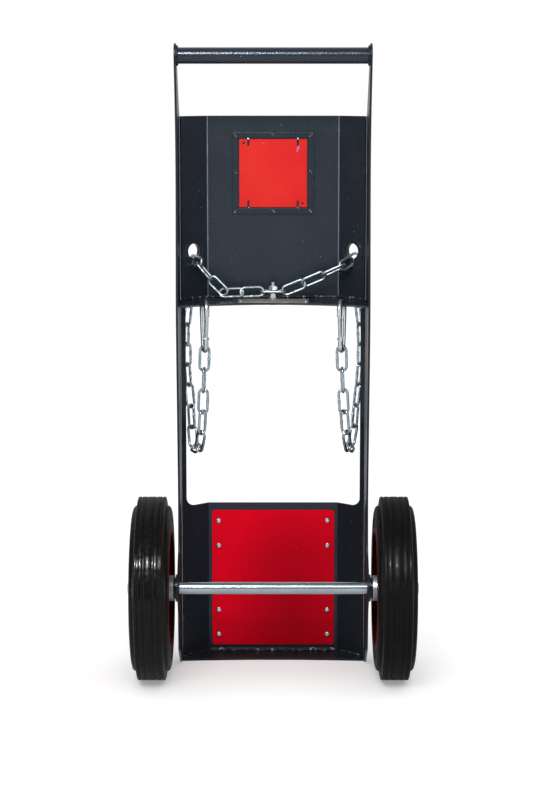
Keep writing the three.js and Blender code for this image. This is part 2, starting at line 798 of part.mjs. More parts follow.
// One round link as a closed tube round a stadium, long axis X, flat in X and Y, centred.
function linkGeometry(inside) {
  const sides = 6;
  const crownSteps = 4;
  const crown = (linkWidth - wire) / 2;
  const straight = inside / 2 + wire / 2 - crown;
  const centre = [];
  for (const end of [1, -1]) {
    for (let i = 0; i <= crownSteps; i += 1) {
      const angle = -Math.PI / 2 + (Math.PI * i) / crownSteps;
      const out = new THREE.Vector3(end * Math.cos(angle), end * Math.sin(angle), 0);
      const place = out.clone().multiplyScalar(crown).add(new THREE.Vector3(end * straight, 0, 0));
      centre.push({ place, out });
    }
  }
  const positions = [];
  const index = [];
  centre.forEach(({ place, out }, i) => {
    for (let k = 0; k < sides; k += 1) {
      const around = (k * Math.PI * 2) / sides;
      const radial = out.clone().multiplyScalar(Math.cos(around) * (wire / 2));
      positions.push(...radial.add(place).add(new THREE.Vector3(0, 0, Math.sin(around) * (wire / 2))));
      const a = i * sides + k;
      const b = i * sides + ((k + 1) % sides);
      const next = ((i + 1) % centre.length) * sides;
      const c = next + k;
      const d = next + ((k + 1) % sides);
      index.push(a, c, b, b, c, d);
    }
  });
  const geometry = new THREE.BufferGeometry();
  geometry.setAttribute("position", new THREE.Float32BufferAttribute(positions, 3));
  geometry.setIndex(index);
  return geometry;
}

// A link from one joint towards the next, its flat side facing a given way.
function linkBetween(from, to, facing, inside) {
  const along = to.clone().sub(from).normalize();
  const normal = facing.clone().addScaledVector(along, -facing.dot(along)).normalize();
  const across = new THREE.Vector3().crossVectors(normal, along);
  const middle = from.clone().add(to).multiplyScalar(0.5);
  const place = new THREE.Matrix4().makeBasis(along, across, normal).setPosition(middle);
  return linkGeometry(inside).applyMatrix4(place);
}

// A stretch of links along joints, upright and flat in turn, sunk together a little.
function chainStretch(joints) {
  return joints.slice(1).map((joint, i) => {
    const along = joint.clone().sub(joints[i]);
    const facing = i % 2 === 0 ? new THREE.Vector3().crossVectors(upward, along) : upward;
    return linkBetween(joints[i], joint, facing, linkInside - linkFuse);
  });
}

// Moves a joint back so that two links that meet there at an angle keep their running gap.
function looseJoint(joint, alongBefore, alongAfter) {
  const bisector = alongBefore.clone().add(alongAfter).normalize();
  const halfAngle = alongBefore.angleTo(alongAfter) / 2;
  const give = wire * (1 - Math.cos(halfAngle)) + runGap * 4 + linkFuse;
  return joint.clone().addScaledVector(bisector, -give);
}

// Joints of equal links between two points, bulging towards a given side on an arc.
function arcJoints(from, to, count, bulge) {
  const chord = to.clone().sub(from);
  const length = chord.length();
  const along = chord.clone().normalize();
  const side = bulge.clone().addScaledVector(along, -bulge.dot(along)).normalize();
  let low = 1e-4;
  let high = (Math.PI * 2) / count - 1e-4;
  for (let i = 0; i < 60; i += 1) {
    const step = (low + high) / 2;
    const reach = (linkInside * Math.sin((count * step) / 2)) / Math.sin(step / 2);
    if (reach > length) low = step;
    else high = step;
  }
  const joints = [from.clone()];
  for (let i = 0; i < count; i += 1) {
    const angle = (count / 2 - i - 0.5) * low;
    const move = along.clone().multiplyScalar(Math.cos(angle)).addScaledVector(side, Math.sin(angle));
    joints.push(joints[i].clone().addScaledVector(move, linkInside));
  }
  return joints;
}

// Joints of equal links hanging freely between two points, on a catenary in their upright plane.
function hangingJoints(from, to, count) {
  const level = new THREE.Vector3(to.x - from.x, to.y - from.y, 0);
  const span = level.length();
  level.normalize();
  const drop = to.z - from.z;
  const walk = (scale) => {
    const lowest = span / 2 - scale * Math.asinh(drop / (2 * scale * Math.sinh(span / (2 * scale))));
    const heightAt = (h) => scale * (Math.cosh((h - lowest) / scale) - Math.cosh(lowest / scale));
    const places = [[0, 0]];
    for (let i = 0; i < count; i += 1) {
      const [h, z] = places[i];
      let near = h;
      let far = h + linkInside;
      for (let k = 0; k < 50; k += 1) {
        const mid = (near + far) / 2;
        if (Math.hypot(mid - h, heightAt(mid) - z) < linkInside) near = mid;
        else far = mid;
      }
      places.push([near, heightAt(near)]);
    }
    return places;
  };
  let tight = 2;
  let slack = 400;
  for (let i = 0; i < 60; i += 1) {
    const scale = (tight + slack) / 2;
    if (walk(scale)[count][0] < span) tight = scale;
    else slack = scale;
  }
  return walk(slack).map(([h, z]) => from.clone().addScaledVector(level, h).setZ(from.z + z));
}

const chainHeight = shelfTop + blankPlateThickness + boltWasherThickness + nutHeight + seatGap * 4 + wire / 2;
const chainMiddle = new THREE.Vector3(0, boltForward, chainHeight);

{
  const half = new THREE.Vector3(linkInside / 2, 0, 0);
  const link = linkBetween(chainMiddle.clone().sub(half), chainMiddle.clone().add(half), upward, linkInside);
  addPiece("centre_chain_link", link, zinc);
}

// The link held in each keyhole's slot, standing upright and square to the sheet
const slotLinkHeight = keyholeBottom + runGap + linkWidth / 2;
const slotLinkMiddle = new THREE.Vector3(
  keyholeSide,
  panelRearFace - sectionSlope * (keyholeSide - panelHalf),
  slotLinkHeight,
).addScaledVector(sectionOut, panelThickness / 2);
const slotLinkRear = slotLinkMiddle.clone().addScaledVector(sectionOut, -linkInside / 2);
const slotLinkFront = slotLinkMiddle.clone().addScaledVector(sectionOut, linkInside / 2);
const sheetAlong = new THREE.Vector3(Math.cos(sectionAngle), -Math.sin(sectionAngle), 0);
addPair("keyhole_link", linkBetween(slotLinkRear, slotLinkFront, sheetAlong, linkInside), zinc);

// A swag from the middle link to the link in the keyhole, drawn on the +X side
function swag(droop) {
  const angle = THREE.MathUtils.degToRad(droop);
  const bulge = new THREE.Vector3(0, -Math.cos(angle), -Math.sin(angle));
  const start = chainMiddle.clone().add(new THREE.Vector3(linkInside / 2, 0, 0));
  const ideal = arcJoints(start, slotLinkRear, swagLinks, bulge);
  const firstAlong = ideal[1].clone().sub(ideal[0]).normalize();
  const lastAlong = ideal[swagLinks].clone().sub(ideal[swagLinks - 1]).normalize();
  const looseStart = looseJoint(start, new THREE.Vector3(1, 0, 0), firstAlong);
  const backAlong = sectionOut.clone().negate();
  const looseEnd = looseJoint(slotLinkRear, backAlong, lastAlong.clone().negate());
  const joints = arcJoints(looseStart, looseEnd, swagLinks, bulge);
  return join(chainStretch(joints));
}

addPiece("right_swag_chain", swag(swagDroop.right), zinc);
addPiece("left_swag_chain", mirrored(swag(swagDroop.left)), zinc);

// The free end on each side: down in front of the rail, through the window and up to the carabiner
{
  const eyeFloor = hookBottom + hookWire + runGap + linkFuse;
  const crown = (linkWidth - wire) / 2;
  const seatAngle = THREE.MathUtils.degToRad(hangAngle);
  const seatOut = linkInside / 2 + wire / 2 - crown + crown * Math.cos(seatAngle);
  const seatUp = wire / 2 + runGap * 3 + linkFuse - crown * Math.sin(seatAngle);
  const top = slotLinkMiddle.clone().addScaledVector(sectionOut, seatOut).addScaledVector(upward, seatUp);
  const end = new THREE.Vector3(hookSide, hookMiddle, eyeFloor);
  const joints = hangingJoints(top, end, loopLinks);
  const level = new THREE.Vector3(end.x - top.x, end.y - top.y, 0).normalize();
  const square = new THREE.Vector3(-level.y, level.x, 0);
  const loopFacing = (along) => new THREE.Vector3().crossVectors(square, along);
  const links = joints.slice(1).map((joint, i) => {
    const along = joint.clone().sub(joints[i]);
    const facing = i % 2 === 0 ? loopFacing(along) : square;
    const loose = i === upperLinks - 1 || i === upperLinks;
    return linkBetween(joints[i], joint, facing, loose ? linkInside + linkFuse : linkInside - linkFuse);
  });
  addPair("chain_upper_links", join(links.slice(0, upperLinks)), zinc);
  addPair("chain_loop", join(links.slice(upperLinks)), zinc);
}

// Bolt through the shelf, with the nut below the chain and the lock nut above it

function hexagon(across, bottom, height, x, y, bore) {
  const radius = across / Math.sqrt(3);
  const shape = new THREE.Shape();
  for (let i = 0; i < 6; i += 1) {
    const angle = (i * Math.PI) / 3;
    const corner = [radius * Math.cos(angle), radius * Math.sin(angle)];
    if (i === 0) shape.moveTo(...corner);
    else shape.lineTo(...corner);
  }
  if (bore) shape.holes.push(roundHole(0, 0, bore));
  return extrude(shape, height, 6).translate(x, y, bottom);
}

{
  const under = shelfTop - shelfThickness - seatGap;
  const shank = uprightCylinder(boltDiameter / 2, under - 1, boltEnd, 0, boltForward, 16);
  const head = hexagon(boltHeadAcross, under - boltHeadHeight, boltHeadHeight, 0, boltForward);
  addPiece("chain_bolt", join([head, shank]), zinc);

  const bore = boltDiameter / 2 + runGap;
  const washerBottom = shelfTop + seatGap;
  const washerShape = new THREE.Shape().absarc(0, 0, boltWasherDiameter / 2, 0, Math.PI * 2);
  washerShape.holes.push(roundHole(0, 0, bore));
  const washer = extrude(washerShape, boltWasherThickness, 10);
  addPiece("bolt_washer", washer.translate(0, boltForward, washerBottom), zinc);

  const nutBottom = washerBottom + boltWasherThickness + seatGap;
  const nutTop = chainHeight - wire / 2 - seatGap;
  const lowerNut = hexagon(boltHeadAcross, nutBottom, nutTop - nutBottom, 0, boltForward, bore);
  addPiece("bolt_lower_nut", lowerNut, zinc);

  const lockBottom = chainHeight + wire / 2 + seatGap;
  addPiece("bolt_lock_nut", hexagon(boltHeadAcross, lockBottom, nutHeight, 0, boltForward, bore), zinc);
}

// Carabiners: drawn in U (towards the gate) and V (up), then hung over the shelf's edge

function hookPlace() {
  const gateSide = new THREE.Vector3(-Math.sin(hookTurnAngle), -Math.cos(hookTurnAngle), 0);
  const across = new THREE.Vector3().crossVectors(gateSide, upward);
  return new THREE.Matrix4()
    .makeBasis(gateSide, upward, across)
    .setPosition(hookSide, hookMiddle, hookBottom);
}

function roundBar(points, diameter, steps, sides) {
  const section = new THREE.Shape();
  for (let i = 0; i < sides; i += 1) {
    const angle = (i * Math.PI * 2) / sides;
    const corner = [(diameter / 2) * Math.cos(angle), (diameter / 2) * Math.sin(angle)];
    if (i === 0) section.moveTo(...corner);
    else section.lineTo(...corner);
  }
  const path = points.length === 2 ? new THREE.LineCurve3(...points) : new THREE.CatmullRomCurve3(points);
  return new THREE.ExtrudeGeometry(section, { extrudePath: path, steps, bevelEnabled: false });
}

{
  const eye = hookEyeRadius;
  const crown = hookTopRadius;
  const eyeHeight = hookWire / 2 + eye;
  const at = (u, v) => new THREE.Vector3(u, v, 0);
  const arc = (radius, height, from, to, count) => {
    const places = [];
    for (let i = 0; i <= count; i += 1) {
      const angle = from + ((to - from) * i) / count;
      places.push(at(radius * Math.cos(angle), height + radius * Math.sin(angle)));
    }
    return places;
  };
  const slant = (v) => eye + ((crown - eye) * (v - eyeHeight)) / (crownHeight - eyeHeight);
  const hinge = at(slant(gateFoot), gateFoot);
  const path = [
    at(slant(gateFoot + gatePinDiameter), gateFoot + gatePinDiameter),
    ...arc(eye, eyeHeight, 0, -Math.PI, 4),
    at(-slant((eyeHeight + crownHeight) / 2), (eyeHeight + crownHeight) / 2),
    ...arc(crown, crownHeight, Math.PI, 0, 5),
    at(crown, gateTip + gateNose),
  ];
  const bar = roundBar(path, hookWire, 28, 7);
  const foot = gateFoot - gateHeel;
  const wide = hookWire * 2;
  const cheekDepth = (wide - gateTongue) / 2;
  const cheeks = [-1, 1].map((side) =>
    new THREE.BoxGeometry(wide, wide, cheekDepth).translate(
      hinge.x,
      foot + wide / 2,
      (side * (gateTongue + cheekDepth)) / 2,
    ),
  );
  const pinBore = gatePinDiameter / 2 + runGap;
  const pinHole = new THREE.CylinderGeometry(pinBore, pinBore, toolPast * 2, 10)
    .rotateX(Math.PI / 2)
    .translate(hinge.x, hinge.y, 0);
  const body = cut(bar, [...cheeks, pinHole]);
  addPair("carabiner_body", body.applyMatrix4(hookPlace()), zinc);

  const gateFootEnd = at(slant(foot + gateNose), foot + gateNose);
  const gateTop = at(crown, gateTip);
  const gateBar = roundBar([gateFootEnd, gateTop], gateDiameter, 1, 7);
  const fork = new THREE.BoxGeometry(wide, forkHeight, gateTongue + runGap * 2).translate(
    hinge.x,
    gateFoot - gateNose,
    0,
  );
  const gate = cut(gateBar, [fork, pinHole]);
  addPair("carabiner_gate", gate.applyMatrix4(hookPlace()), zinc);

  const pin = new THREE.CylinderGeometry(gatePinDiameter / 2, gatePinDiameter / 2, gateDiameter, 10)
    .rotateX(Math.PI / 2)
    .translate(hinge.x, hinge.y, 0);
  addPair("carabiner_pin", pin.applyMatrix4(hookPlace()), zinc);
}

export default cart;
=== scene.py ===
import math
import random
from contextlib import contextmanager

import bmesh
import bpy
from mathutils import Matrix, Vector


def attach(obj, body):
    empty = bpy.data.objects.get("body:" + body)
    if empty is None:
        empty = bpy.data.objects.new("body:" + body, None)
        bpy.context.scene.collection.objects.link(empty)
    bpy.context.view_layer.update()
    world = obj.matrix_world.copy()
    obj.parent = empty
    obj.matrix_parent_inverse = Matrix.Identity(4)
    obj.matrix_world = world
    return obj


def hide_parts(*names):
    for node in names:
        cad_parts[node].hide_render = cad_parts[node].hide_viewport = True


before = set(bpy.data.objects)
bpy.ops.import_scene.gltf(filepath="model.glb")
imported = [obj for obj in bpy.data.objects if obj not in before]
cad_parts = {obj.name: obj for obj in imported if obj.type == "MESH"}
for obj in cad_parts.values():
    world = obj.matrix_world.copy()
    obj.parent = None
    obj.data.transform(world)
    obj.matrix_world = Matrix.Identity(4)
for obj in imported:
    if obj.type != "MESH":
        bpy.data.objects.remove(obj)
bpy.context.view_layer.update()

axleForward = -131.75  # the axle's place along the cart, mm
axleHeight = 144.0
seam = 0.25  # clear space between seated pieces, mm
sides = (("right", 1), ("left", -1))
random.seed(4)


def metres(point):
    return Vector(point) / 1000


def placed(name, data):
    made = bpy.data.objects.new(name, data)
    bpy.context.collection.objects.link(made)
    return made


# finishes


def startMaterial(name, metallic, roughness, color):
    material = bpy.data.materials.new(name)
    material.use_nodes = True
    tree = material.node_tree
    shader = tree.nodes["Principled BSDF"]
    shader.inputs["Metallic"].default_value = metallic
    shader.inputs["Roughness"].default_value = roughness
    shader.inputs["Base Color"].default_value = (*color, 1)
    material.diffuse_color = (*color, 1)
    return material, tree, shader


def objectPlace(tree, stretch=(1, 1, 1)):
    place = tree.nodes.new("ShaderNodeTexCoord")
    mapping = tree.nodes.new("ShaderNodeMapping")
    mapping.inputs["Scale"].default_value = stretch
    tree.links.new(place.outputs["Object"], mapping.inputs["Vector"])
    return mapping.outputs["Vector"]


def noise(tree, place, scale, detail=3.0):
    node = tree.nodes.new("ShaderNodeTexNoise")
    node.inputs["Scale"].default_value = scale
    node.inputs["Detail"].default_value = detail
    node.inputs["Roughness"].default_value = 0.55
    tree.links.new(place, node.inputs["Vector"])
    return node.outputs["Fac"]


def ramp(tree, factor, stops):
    node = tree.nodes.new("ShaderNodeValToRGB")
    points = node.color_ramp.elements
    while len(points) < len(stops):
        points.new(0.5)
    for point, (at, color) in zip(points, stops):
        point.position = at
        point.color = (*color, 1)
    tree.links.new(factor, node.inputs["Fac"])
    return node.outputs["Color"]


def grey(value):
    return (value, value, value)


def mixed(tree, factor, first, second, blend="MIX"):
    node = tree.nodes.new("ShaderNodeMix")
    node.data_type = "RGBA"
    node.blend_type = blend
    sockets = (node.inputs["Factor"], node.inputs[6], node.inputs[7])
    for socket, value in zip(sockets, (factor, first, second)):
        if isinstance(value, bpy.types.NodeSocket):
            tree.links.new(value, socket)
        elif isinstance(value, (int, float)):
            socket.default_value = value
        else:
            socket.default_value = (*value, 1)
    return node.outputs[2]


def greyNoise(tree, place, scale, low, high, detail=3.0):
    # noise as greys; low and high are each a place on the ramp and its level
    return ramp(tree, noise(tree, place, scale, detail), [(at, grey(level)) for at, level in (low, high)])


def surface(tree, shader, color, gloss, height, strength, distance, glossSocket="Roughness"):
    relief = tree.nodes.new("ShaderNodeBump")
    relief.inputs["Strength"].default_value = strength
    relief.inputs["Distance"].default_value = distance
    tree.links.new(height, relief.inputs["Height"])
    tree.links.new(relief.outputs["Normal"], shader.inputs["Normal"])
    tree.links.new(color, shader.inputs["Base Color"])
    tree.links.new(gloss, shader.inputs[glossSocket])


def specks(tree, place, scale, size, share):
    # round dots in a share of the cells
    cells = tree.nodes.new("ShaderNodeTexVoronoi")
    cells.inputs["Scale"].default_value = scale
    tree.links.new(place, cells.inputs["Vector"])
    dot = ramp(tree, cells.outputs["Distance"], ((size * 0.5, grey(1)), (size, grey(0))))
    pick = tree.nodes.new("ShaderNodeSeparateColor")
    tree.links.new(cells.outputs["Color"], pick.inputs["Color"])
    keep = ramp(tree, pick.outputs["Red"], ((1 - share, grey(0)), (1 - share + 0.01, grey(1))))
    return mixed(tree, 1.0, dot, keep, "MULTIPLY")


coatSettings = {
    "tint": (0.0155, 0.0195, 0.0265),
    "lightTint": (0.0205, 0.0258, 0.0350),
    "roughness": 0.24,
    "cloudScale": 7.0,
    "grainScale": 1500.0,
    "sheenScale": 30.0,
    "peelScale": 540.0,
    "dots": (62.0, 0.055),  # scale and size
    "fineDots": (170.0, 0.1),
    "speckColor": (0.22, 0.24, 0.28),
    "reflection": (0.70, 0.85, 1.0, 1),
}


def powderCoat(name, shade=1.0, dust=0.22, gloss=(0.19, 0.28), peel=0.5, shine=0.38):
    tint = tuple(c * shade for c in coatSettings["tint"])
    light = tuple(c * shade for c in coatSettings["lightTint"])
    material, tree, shader = startMaterial(name, 0.0, coatSettings["roughness"], tint)
    shader.inputs["Specular IOR Level"].default_value = shine
    shader.inputs["Specular Tint"].default_value = coatSettings["reflection"]
    place = objectPlace(tree)
    cloud = ramp(tree, noise(tree, place, coatSettings["cloudScale"]), ((0.3, tint), (0.75, light)))
    grain = greyNoise(tree, place, coatSettings["grainScale"], (0.35, 0.8), (0.7, 1.25), 2.0)
    color = mixed(tree, 1.0, cloud, grain, "MULTIPLY")
    dots = specks(tree, place, *coatSettings["dots"], dust)
    fine = specks(tree, place, *coatSettings["fineDots"], dust * 2.2)
    color = mixed(tree, dots, color, coatSettings["speckColor"])
    color = mixed(tree, fine, color, tuple(c * 0.55 for c in coatSettings["speckColor"]))
    sheen = greyNoise(tree, place, coatSettings["sheenScale"], (0.3, gloss[0]), (0.7, gloss[1]))
    surface(tree, shader, color, sheen, noise(tree, place, coatSettings["peelScale"], 2.0), peel, 0.0005)
    return material


def shadeCloud(tree, place, cloud):
    # greys of painted shade that darken towards one place
    reach = cloud["reach"]
    spot = tree.nodes.new("ShaderNodeMapping")
    spot.inputs["Scale"].default_value = [1 / r if r else 0 for r in reach]
    spot.inputs["Location"].default_value = [-c / r if r else 0 for c, r in zip(cloud["at"], reach)]
    tree.links.new(place, spot.inputs["Vector"])
    fade = tree.nodes.new("ShaderNodeTexGradient")
    fade.gradient_type = "SPHERICAL"
    tree.links.new(spot.outputs["Vector"], fade.inputs["Vector"])
    return ramp(tree, fade.outputs["Fac"], [(at, grey(level)) for at, level in cloud["levels"]])


redSettings = {
    "cloudScale": 9.0,
    "grainScale": 1300.0,
    "glossScale": 22.0,
    "peelScale": 560.0,
    "dust": (75.0, 0.05, 0.12),  # scale, size and share
    "dustColor": (0.75, 0.45, 0.45),
}


def redCoat(name, tint, warm, roughness=0.38, shine=0.1, paintedShade=None):
    material, tree, shader = startMaterial(name, 0.0, roughness, tint)
    shader.inputs["Specular IOR Level"].default_value = shine
    place = objectPlace(tree)
    cloud = ramp(tree, noise(tree, place, redSettings["cloudScale"]), ((0.25, tint), (0.8, warm)))
    grain = greyNoise(tree, place, redSettings["grainScale"], (0.3, 0.93), (0.7, 1.06), 2.0)
    color = mixed(tree, 1.0, cloud, grain, "MULTIPLY")
    dust = specks(tree, place, *redSettings["dust"])
    color = mixed(tree, dust, color, redSettings["dustColor"])
    # painted shade: the colour darkens under a soft cloud, where one is given
    if paintedShade:
        color = mixed(tree, 1.0, color, shadeCloud(tree, place, paintedShade), "MULTIPLY")
    low, high = (0.3, roughness - 0.05), (0.7, roughness + 0.06)
    gloss = greyNoise(tree, place, redSettings["glossScale"], low, high)
    surface(tree, shader, color, gloss, noise(tree, place, redSettings["peelScale"], 2.0), 0.25, 0.0005)
    return material


zincSettings = {"cloudScale": 85.0, "glossScale": 260.0, "wearScale": 420.0, "spots": (240.0, 0.16, 0.1)}


def zincPlate(name, dark, light, smooth, rough, stretch=(1, 1, 1), wear=0.03):
    material, tree, shader = startMaterial(name, 1.0, (smooth + rough) / 2, light)
    place = objectPlace(tree, stretch)
    bright = tuple(min(1, c * 1.12) for c in light)
    cloud = noise(tree, place, zincSettings["cloudScale"])
    color = ramp(tree, cloud, ((0.3, dark), (0.55, light), (0.8, bright)))
    spots = specks(tree, place, *zincSettings["spots"])
    color = mixed(tree, spots, color, tuple(c * 0.6 for c in dark))
    gloss = greyNoise(tree, place, zincSettings["glossScale"], (0.3, smooth), (0.75, rough))
    surface(tree, shader, color, gloss, noise(tree, place, zincSettings["wearScale"]), wear, 0.0004)
    return material


rubber = {
    "roughness": 0.7,
    "tint": (0.004, 0.004, 0.0045),
    "dark": (0.0014, 0.0014, 0.0016),
    "light": (0.0032, 0.0032, 0.0036),
    "dust": (0.05, 0.05, 0.055),
    "dots": (120.0, 0.08, 0.2),  # scale, size and share
    "cloudScale": 38.0,
    "wornScale": 130.0,
    "poreScale": 240.0,
    "coatIor": 1.7,
    "sheen": (0.045, 0.3),  # fine dust that shows at a low angle: weight and roughness
}


def rubberFinish(name, gloss, polish):
    material, tree, shader = startMaterial(name, 0.0, rubber["roughness"], rubber["tint"])
    shader.inputs["Specular IOR Level"].default_value = 0.02
    shader.inputs["Coat Weight"].default_value = polish  # a thin, worn polish
    shader.inputs["Coat IOR"].default_value = rubber["coatIor"]
    shader.inputs["Coat Roughness"].default_value = sum(gloss) / 2  # stays where the linked one is dropped
    for socket, level in zip(("Sheen Weight", "Sheen Roughness"), rubber["sheen"]):
        shader.inputs[socket].default_value = level
    place = objectPlace(tree)
    cloud = noise(tree, place, rubber["cloudScale"])
    color = ramp(tree, cloud, ((0.3, rubber["dark"]), (0.75, rubber["light"])))
    color = mixed(tree, specks(tree, place, *rubber["dots"]), color, rubber["dust"])
    worn = greyNoise(tree, place, rubber["wornScale"], (0.35, gloss[0]), (0.62, gloss[1]))
    pores = noise(tree, place, rubber["poreScale"], 4.0)
    surface(tree, shader, color, worn, pores, 0.4, 0.0008, "Coat Roughness")
    return material


weldSettings = {"colorScale": 190.0, "glossScale": 300.0, "reliefScale": 520.0}


def weldFinish(name, tint, glintColor):
    material, tree, shader = startMaterial(name, 0.35, 0.4, tint)
    place = objectPlace(tree)
    bright = tuple(c * 2.4 for c in tint)
    grain = noise(tree, place, weldSettings["colorScale"])
    # the brightest flecks in the bead's colour are painted glints, partly standing for bare metal on the bead
    color = ramp(tree, grain, ((0.38, tint), (0.58, bright), (0.68, glintColor)))
    gloss = greyNoise(tree, place, weldSettings["glossScale"], (0.3, 0.25), (0.7, 0.6))
    surface(tree, shader, color, gloss, noise(tree, place, weldSettings["reliefScale"]), 0.5, 0.0008)
    return material


brushSettings = {"stretch": (14, 1, 1), "streakScale": 120.0, "stainScale": 40.0, "stain": (0.62, 0.55, 0.5)}


def brushedFinish(name, dark, light, metallic=1.0, rough=(0.24, 0.42)):
    material, tree, shader = startMaterial(name, metallic, rough[1], light)
    streak = noise(tree, objectPlace(tree, brushSettings["stretch"]), brushSettings["streakScale"], 4.0)
    color = ramp(tree, streak, ((0.3, dark), (0.7, light)))
    stain = noise(tree, objectPlace(tree), brushSettings["stainScale"])
    stain = ramp(tree, stain, ((0.4, grey(1)), (0.75, brushSettings["stain"])))
    color = mixed(tree, 1.0, color, stain, "MULTIPLY")
    gloss = ramp(tree, streak, ((0.3, grey(rough[0])), (0.7, grey(rough[1]))))
    surface(tree, shader, color, gloss, streak, 0.25, 0.0003)
    return material


frameCoat = powderCoat("framePowderCoat", dust=0.32)
# a darker copy of the frame coat: painted shade on the side plates
sideShadeCoat = powderCoat("sidePlateShadedCoat", 0.66, 0.12, (0.34, 0.42), 0.2, 0.19)
# darker copies of the frame coat: painted shade on the panel's lower wings and lower flats; the first also
# coats the toe plate
lowerShadeCoat = powderCoat("footShadedCoat", 0.72, 0.14, shine=0.15)
footFlatShadeCoat = powderCoat("footFlatShadedCoat", 0.8, 0.2, shine=0.26)
handleCoat = powderCoat("handleCoat", 0.85, 0.15, (0.19, 0.26), 0.45, 0.34)
edgeCoat = powderCoat("plateEdgeCoat", 1.0, 0.1, (0.24, 0.32), 0.25, 0.3)
upperRed = redCoat("upperPlateRed", (0.725, 0.0105, 0.0135), (0.785, 0.031, 0.0175), 0.42)
axleShadeCloud = {  # painted shade: a soft dark patch on the lower plate behind the axle, metres
    "at": (0.031, 0.0, 0.075),
    "reach": (0.114, 0.0, 0.204),
    "levels": ((0.0, 1.0), (0.167, 0.893), (0.5, 0.67), (1.0, 0.49)),
}
lowerRed = redCoat("lowerPlateRed", (0.735, 0.0002, 0.0138), (0.8, 0.0003, 0.016), 0.45, 0.03, axleShadeCloud)
# the rims' red is darker than the plates': partly the rims' own paint, partly painted shade
rimRed = redCoat("rimRed", (0.30, 0.002, 0.006), (0.36, 0.003, 0.008), 0.35)
# a near-black red on the inner halves: painted shade of the hollow between wheel and side plate
rimPaintedShade = redCoat("rimInnerPaintedShade", (0.045, 0.0006, 0.001), (0.06, 0.0008, 0.0014), 0.4, 0.05)
chainZinc = zincPlate("chainZinc", (0.21, 0.26, 0.29), (0.29, 0.35, 0.385), 0.4, 0.47, wear=0.012)
hangingZinc = zincPlate("hangingZinc", (0.165, 0.205, 0.232), (0.25, 0.305, 0.34), 0.2, 0.28)
carabinerZinc = zincPlate("carabinerZinc", (0.30, 0.32, 0.33), (0.37, 0.39, 0.40), 0.27, 0.33, wear=0.006)
washerZinc = zincPlate("washerZinc", (0.34, 0.36, 0.38), (0.52, 0.55, 0.58), 0.3, 0.45)
hubZinc = zincPlate("hubZinc", (0.10, 0.09, 0.095), (0.18, 0.165, 0.17), 0.3, 0.45)
axleZinc = zincPlate("axleZinc", (0.25, 0.295, 0.325), (0.30, 0.35, 0.385), 0.2, 0.22, (0.25, 1, 1), 0.004)
fastenerZinc = zincPlate("fastenerZinc", (0.27, 0.305, 0.325), (0.44, 0.48, 0.505), 0.24, 0.38)
boltZinc = zincPlate("boltZinc", (0.33, 0.38, 0.41), (0.47, 0.53, 0.56), 0.36, 0.46)
tyreRubber = {
    "right": rubberFinish("tyreRubberRight", (0.24, 0.46), 0.072),
    "left": rubberFinish("tyreRubberLeft", (0.11, 0.3), 0.125),
}
bossBlack = powderCoat("bossBlack", 0.45, 0.1)
# a much lighter copy of the frame coat: a painted highlight along the panel's upper bends
bendHighlightCoat = powderCoat("bendHighlightCoat", 6.5, 0.9, (0.14, 0.2), 0.8)
blankSteel = brushedFinish("blankSteel", (0.17, 0.15, 0.135), (0.31, 0.28, 0.255), 0.45, (0.5, 0.62))
capSteel = brushedFinish("capSteel", (0.42, 0.41, 0.40), (0.62, 0.61, 0.60))
coatedWeld = powderCoat("coatedWeld", 0.7, 0.1, (0.2, 0.3), 0.4, 0.25)
shelfWeld = weldFinish("shelfWeld", (0.009, 0.0095, 0.011), (0.50, 0.54, 0.62))
toeWeldSteel = weldFinish("toeWeldSteel", (0.034, 0.034, 0.037), (0.66, 0.68, 0.72))
tackWeld = weldFinish("tackWeld", (0.075, 0.083, 0.094), (0.52, 0.55, 0.60))
scuffLilac = redCoat("scuffLilac", (0.42, 0.20, 0.50), (0.55, 0.30, 0.62), 0.5)
print("finishes made:", len(bpy.data.materials))


# mesh tools


@contextmanager
def editing(mesh):
    bm = bmesh.new()
    bm.from_mesh(mesh)
    yield bm
    bm.to_mesh(mesh)
    bm.free()


def addPiece(name, mesh, material, node=None, sharp=14, body="frame", others=()):
    with editing(mesh) as bm:
        bmesh.ops.remove_doubles(bm, verts=bm.verts, dist=1e-6)
        bmesh.ops.recalc_face_normals(bm, faces=bm.faces)
    mesh.polygons.foreach_set("use_smooth", [True] * len(mesh.polygons))
    mesh.set_sharp_from_angle(angle=math.radians(sharp))
    finishes = [face.material_index for face in mesh.polygons]
    mesh.materials.clear()
    for finish in (material, *others):
        mesh.materials.append(finish)
    mesh.polygons.foreach_set("material_index", finishes)
    piece = placed(name, mesh)
    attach(piece, body)
    if node:
        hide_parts(node)


def sidePair(name, mesh, material, node=None, sharp=14):
    # the mesh on the right and its mirror image on the left
    for sideName, side in sides:
        copy = mesh if side > 0 else mirroredMesh(mesh)
        addPiece(name + sideName.title(), copy, material, node and f"{sideName}_{node}", sharp=sharp)


def meshFrom(name, verts, faces):
    mesh = bpy.data.meshes.new(name)
    mesh.from_pydata([metres(v) for v in verts], [], faces)
    mesh.update()
    return mesh


def joined(name, meshes):
    bm = bmesh.new()
    for mesh in meshes:
        bm.from_mesh(mesh)
    result = bpy.data.meshes.new(name)
    bm.to_mesh(result)
    bm.free()
    return result


def moved(mesh, matrix):
    mesh.transform(matrix)
    return mesh


def shifted(x, y, z):
    return Matrix.Translation(metres((x, y, z)))


def mirroredMesh(mesh):
    copy = mesh.copy()
    copy.transform(Matrix.Diagonal((-1, 1, 1, 1)))
    return copy


def basis(x, y, z, place=(0, 0, 0)):
    matrix = Matrix((x, y, z)).transposed().to_4x4()
    matrix.translation = metres(place)
    return matrix


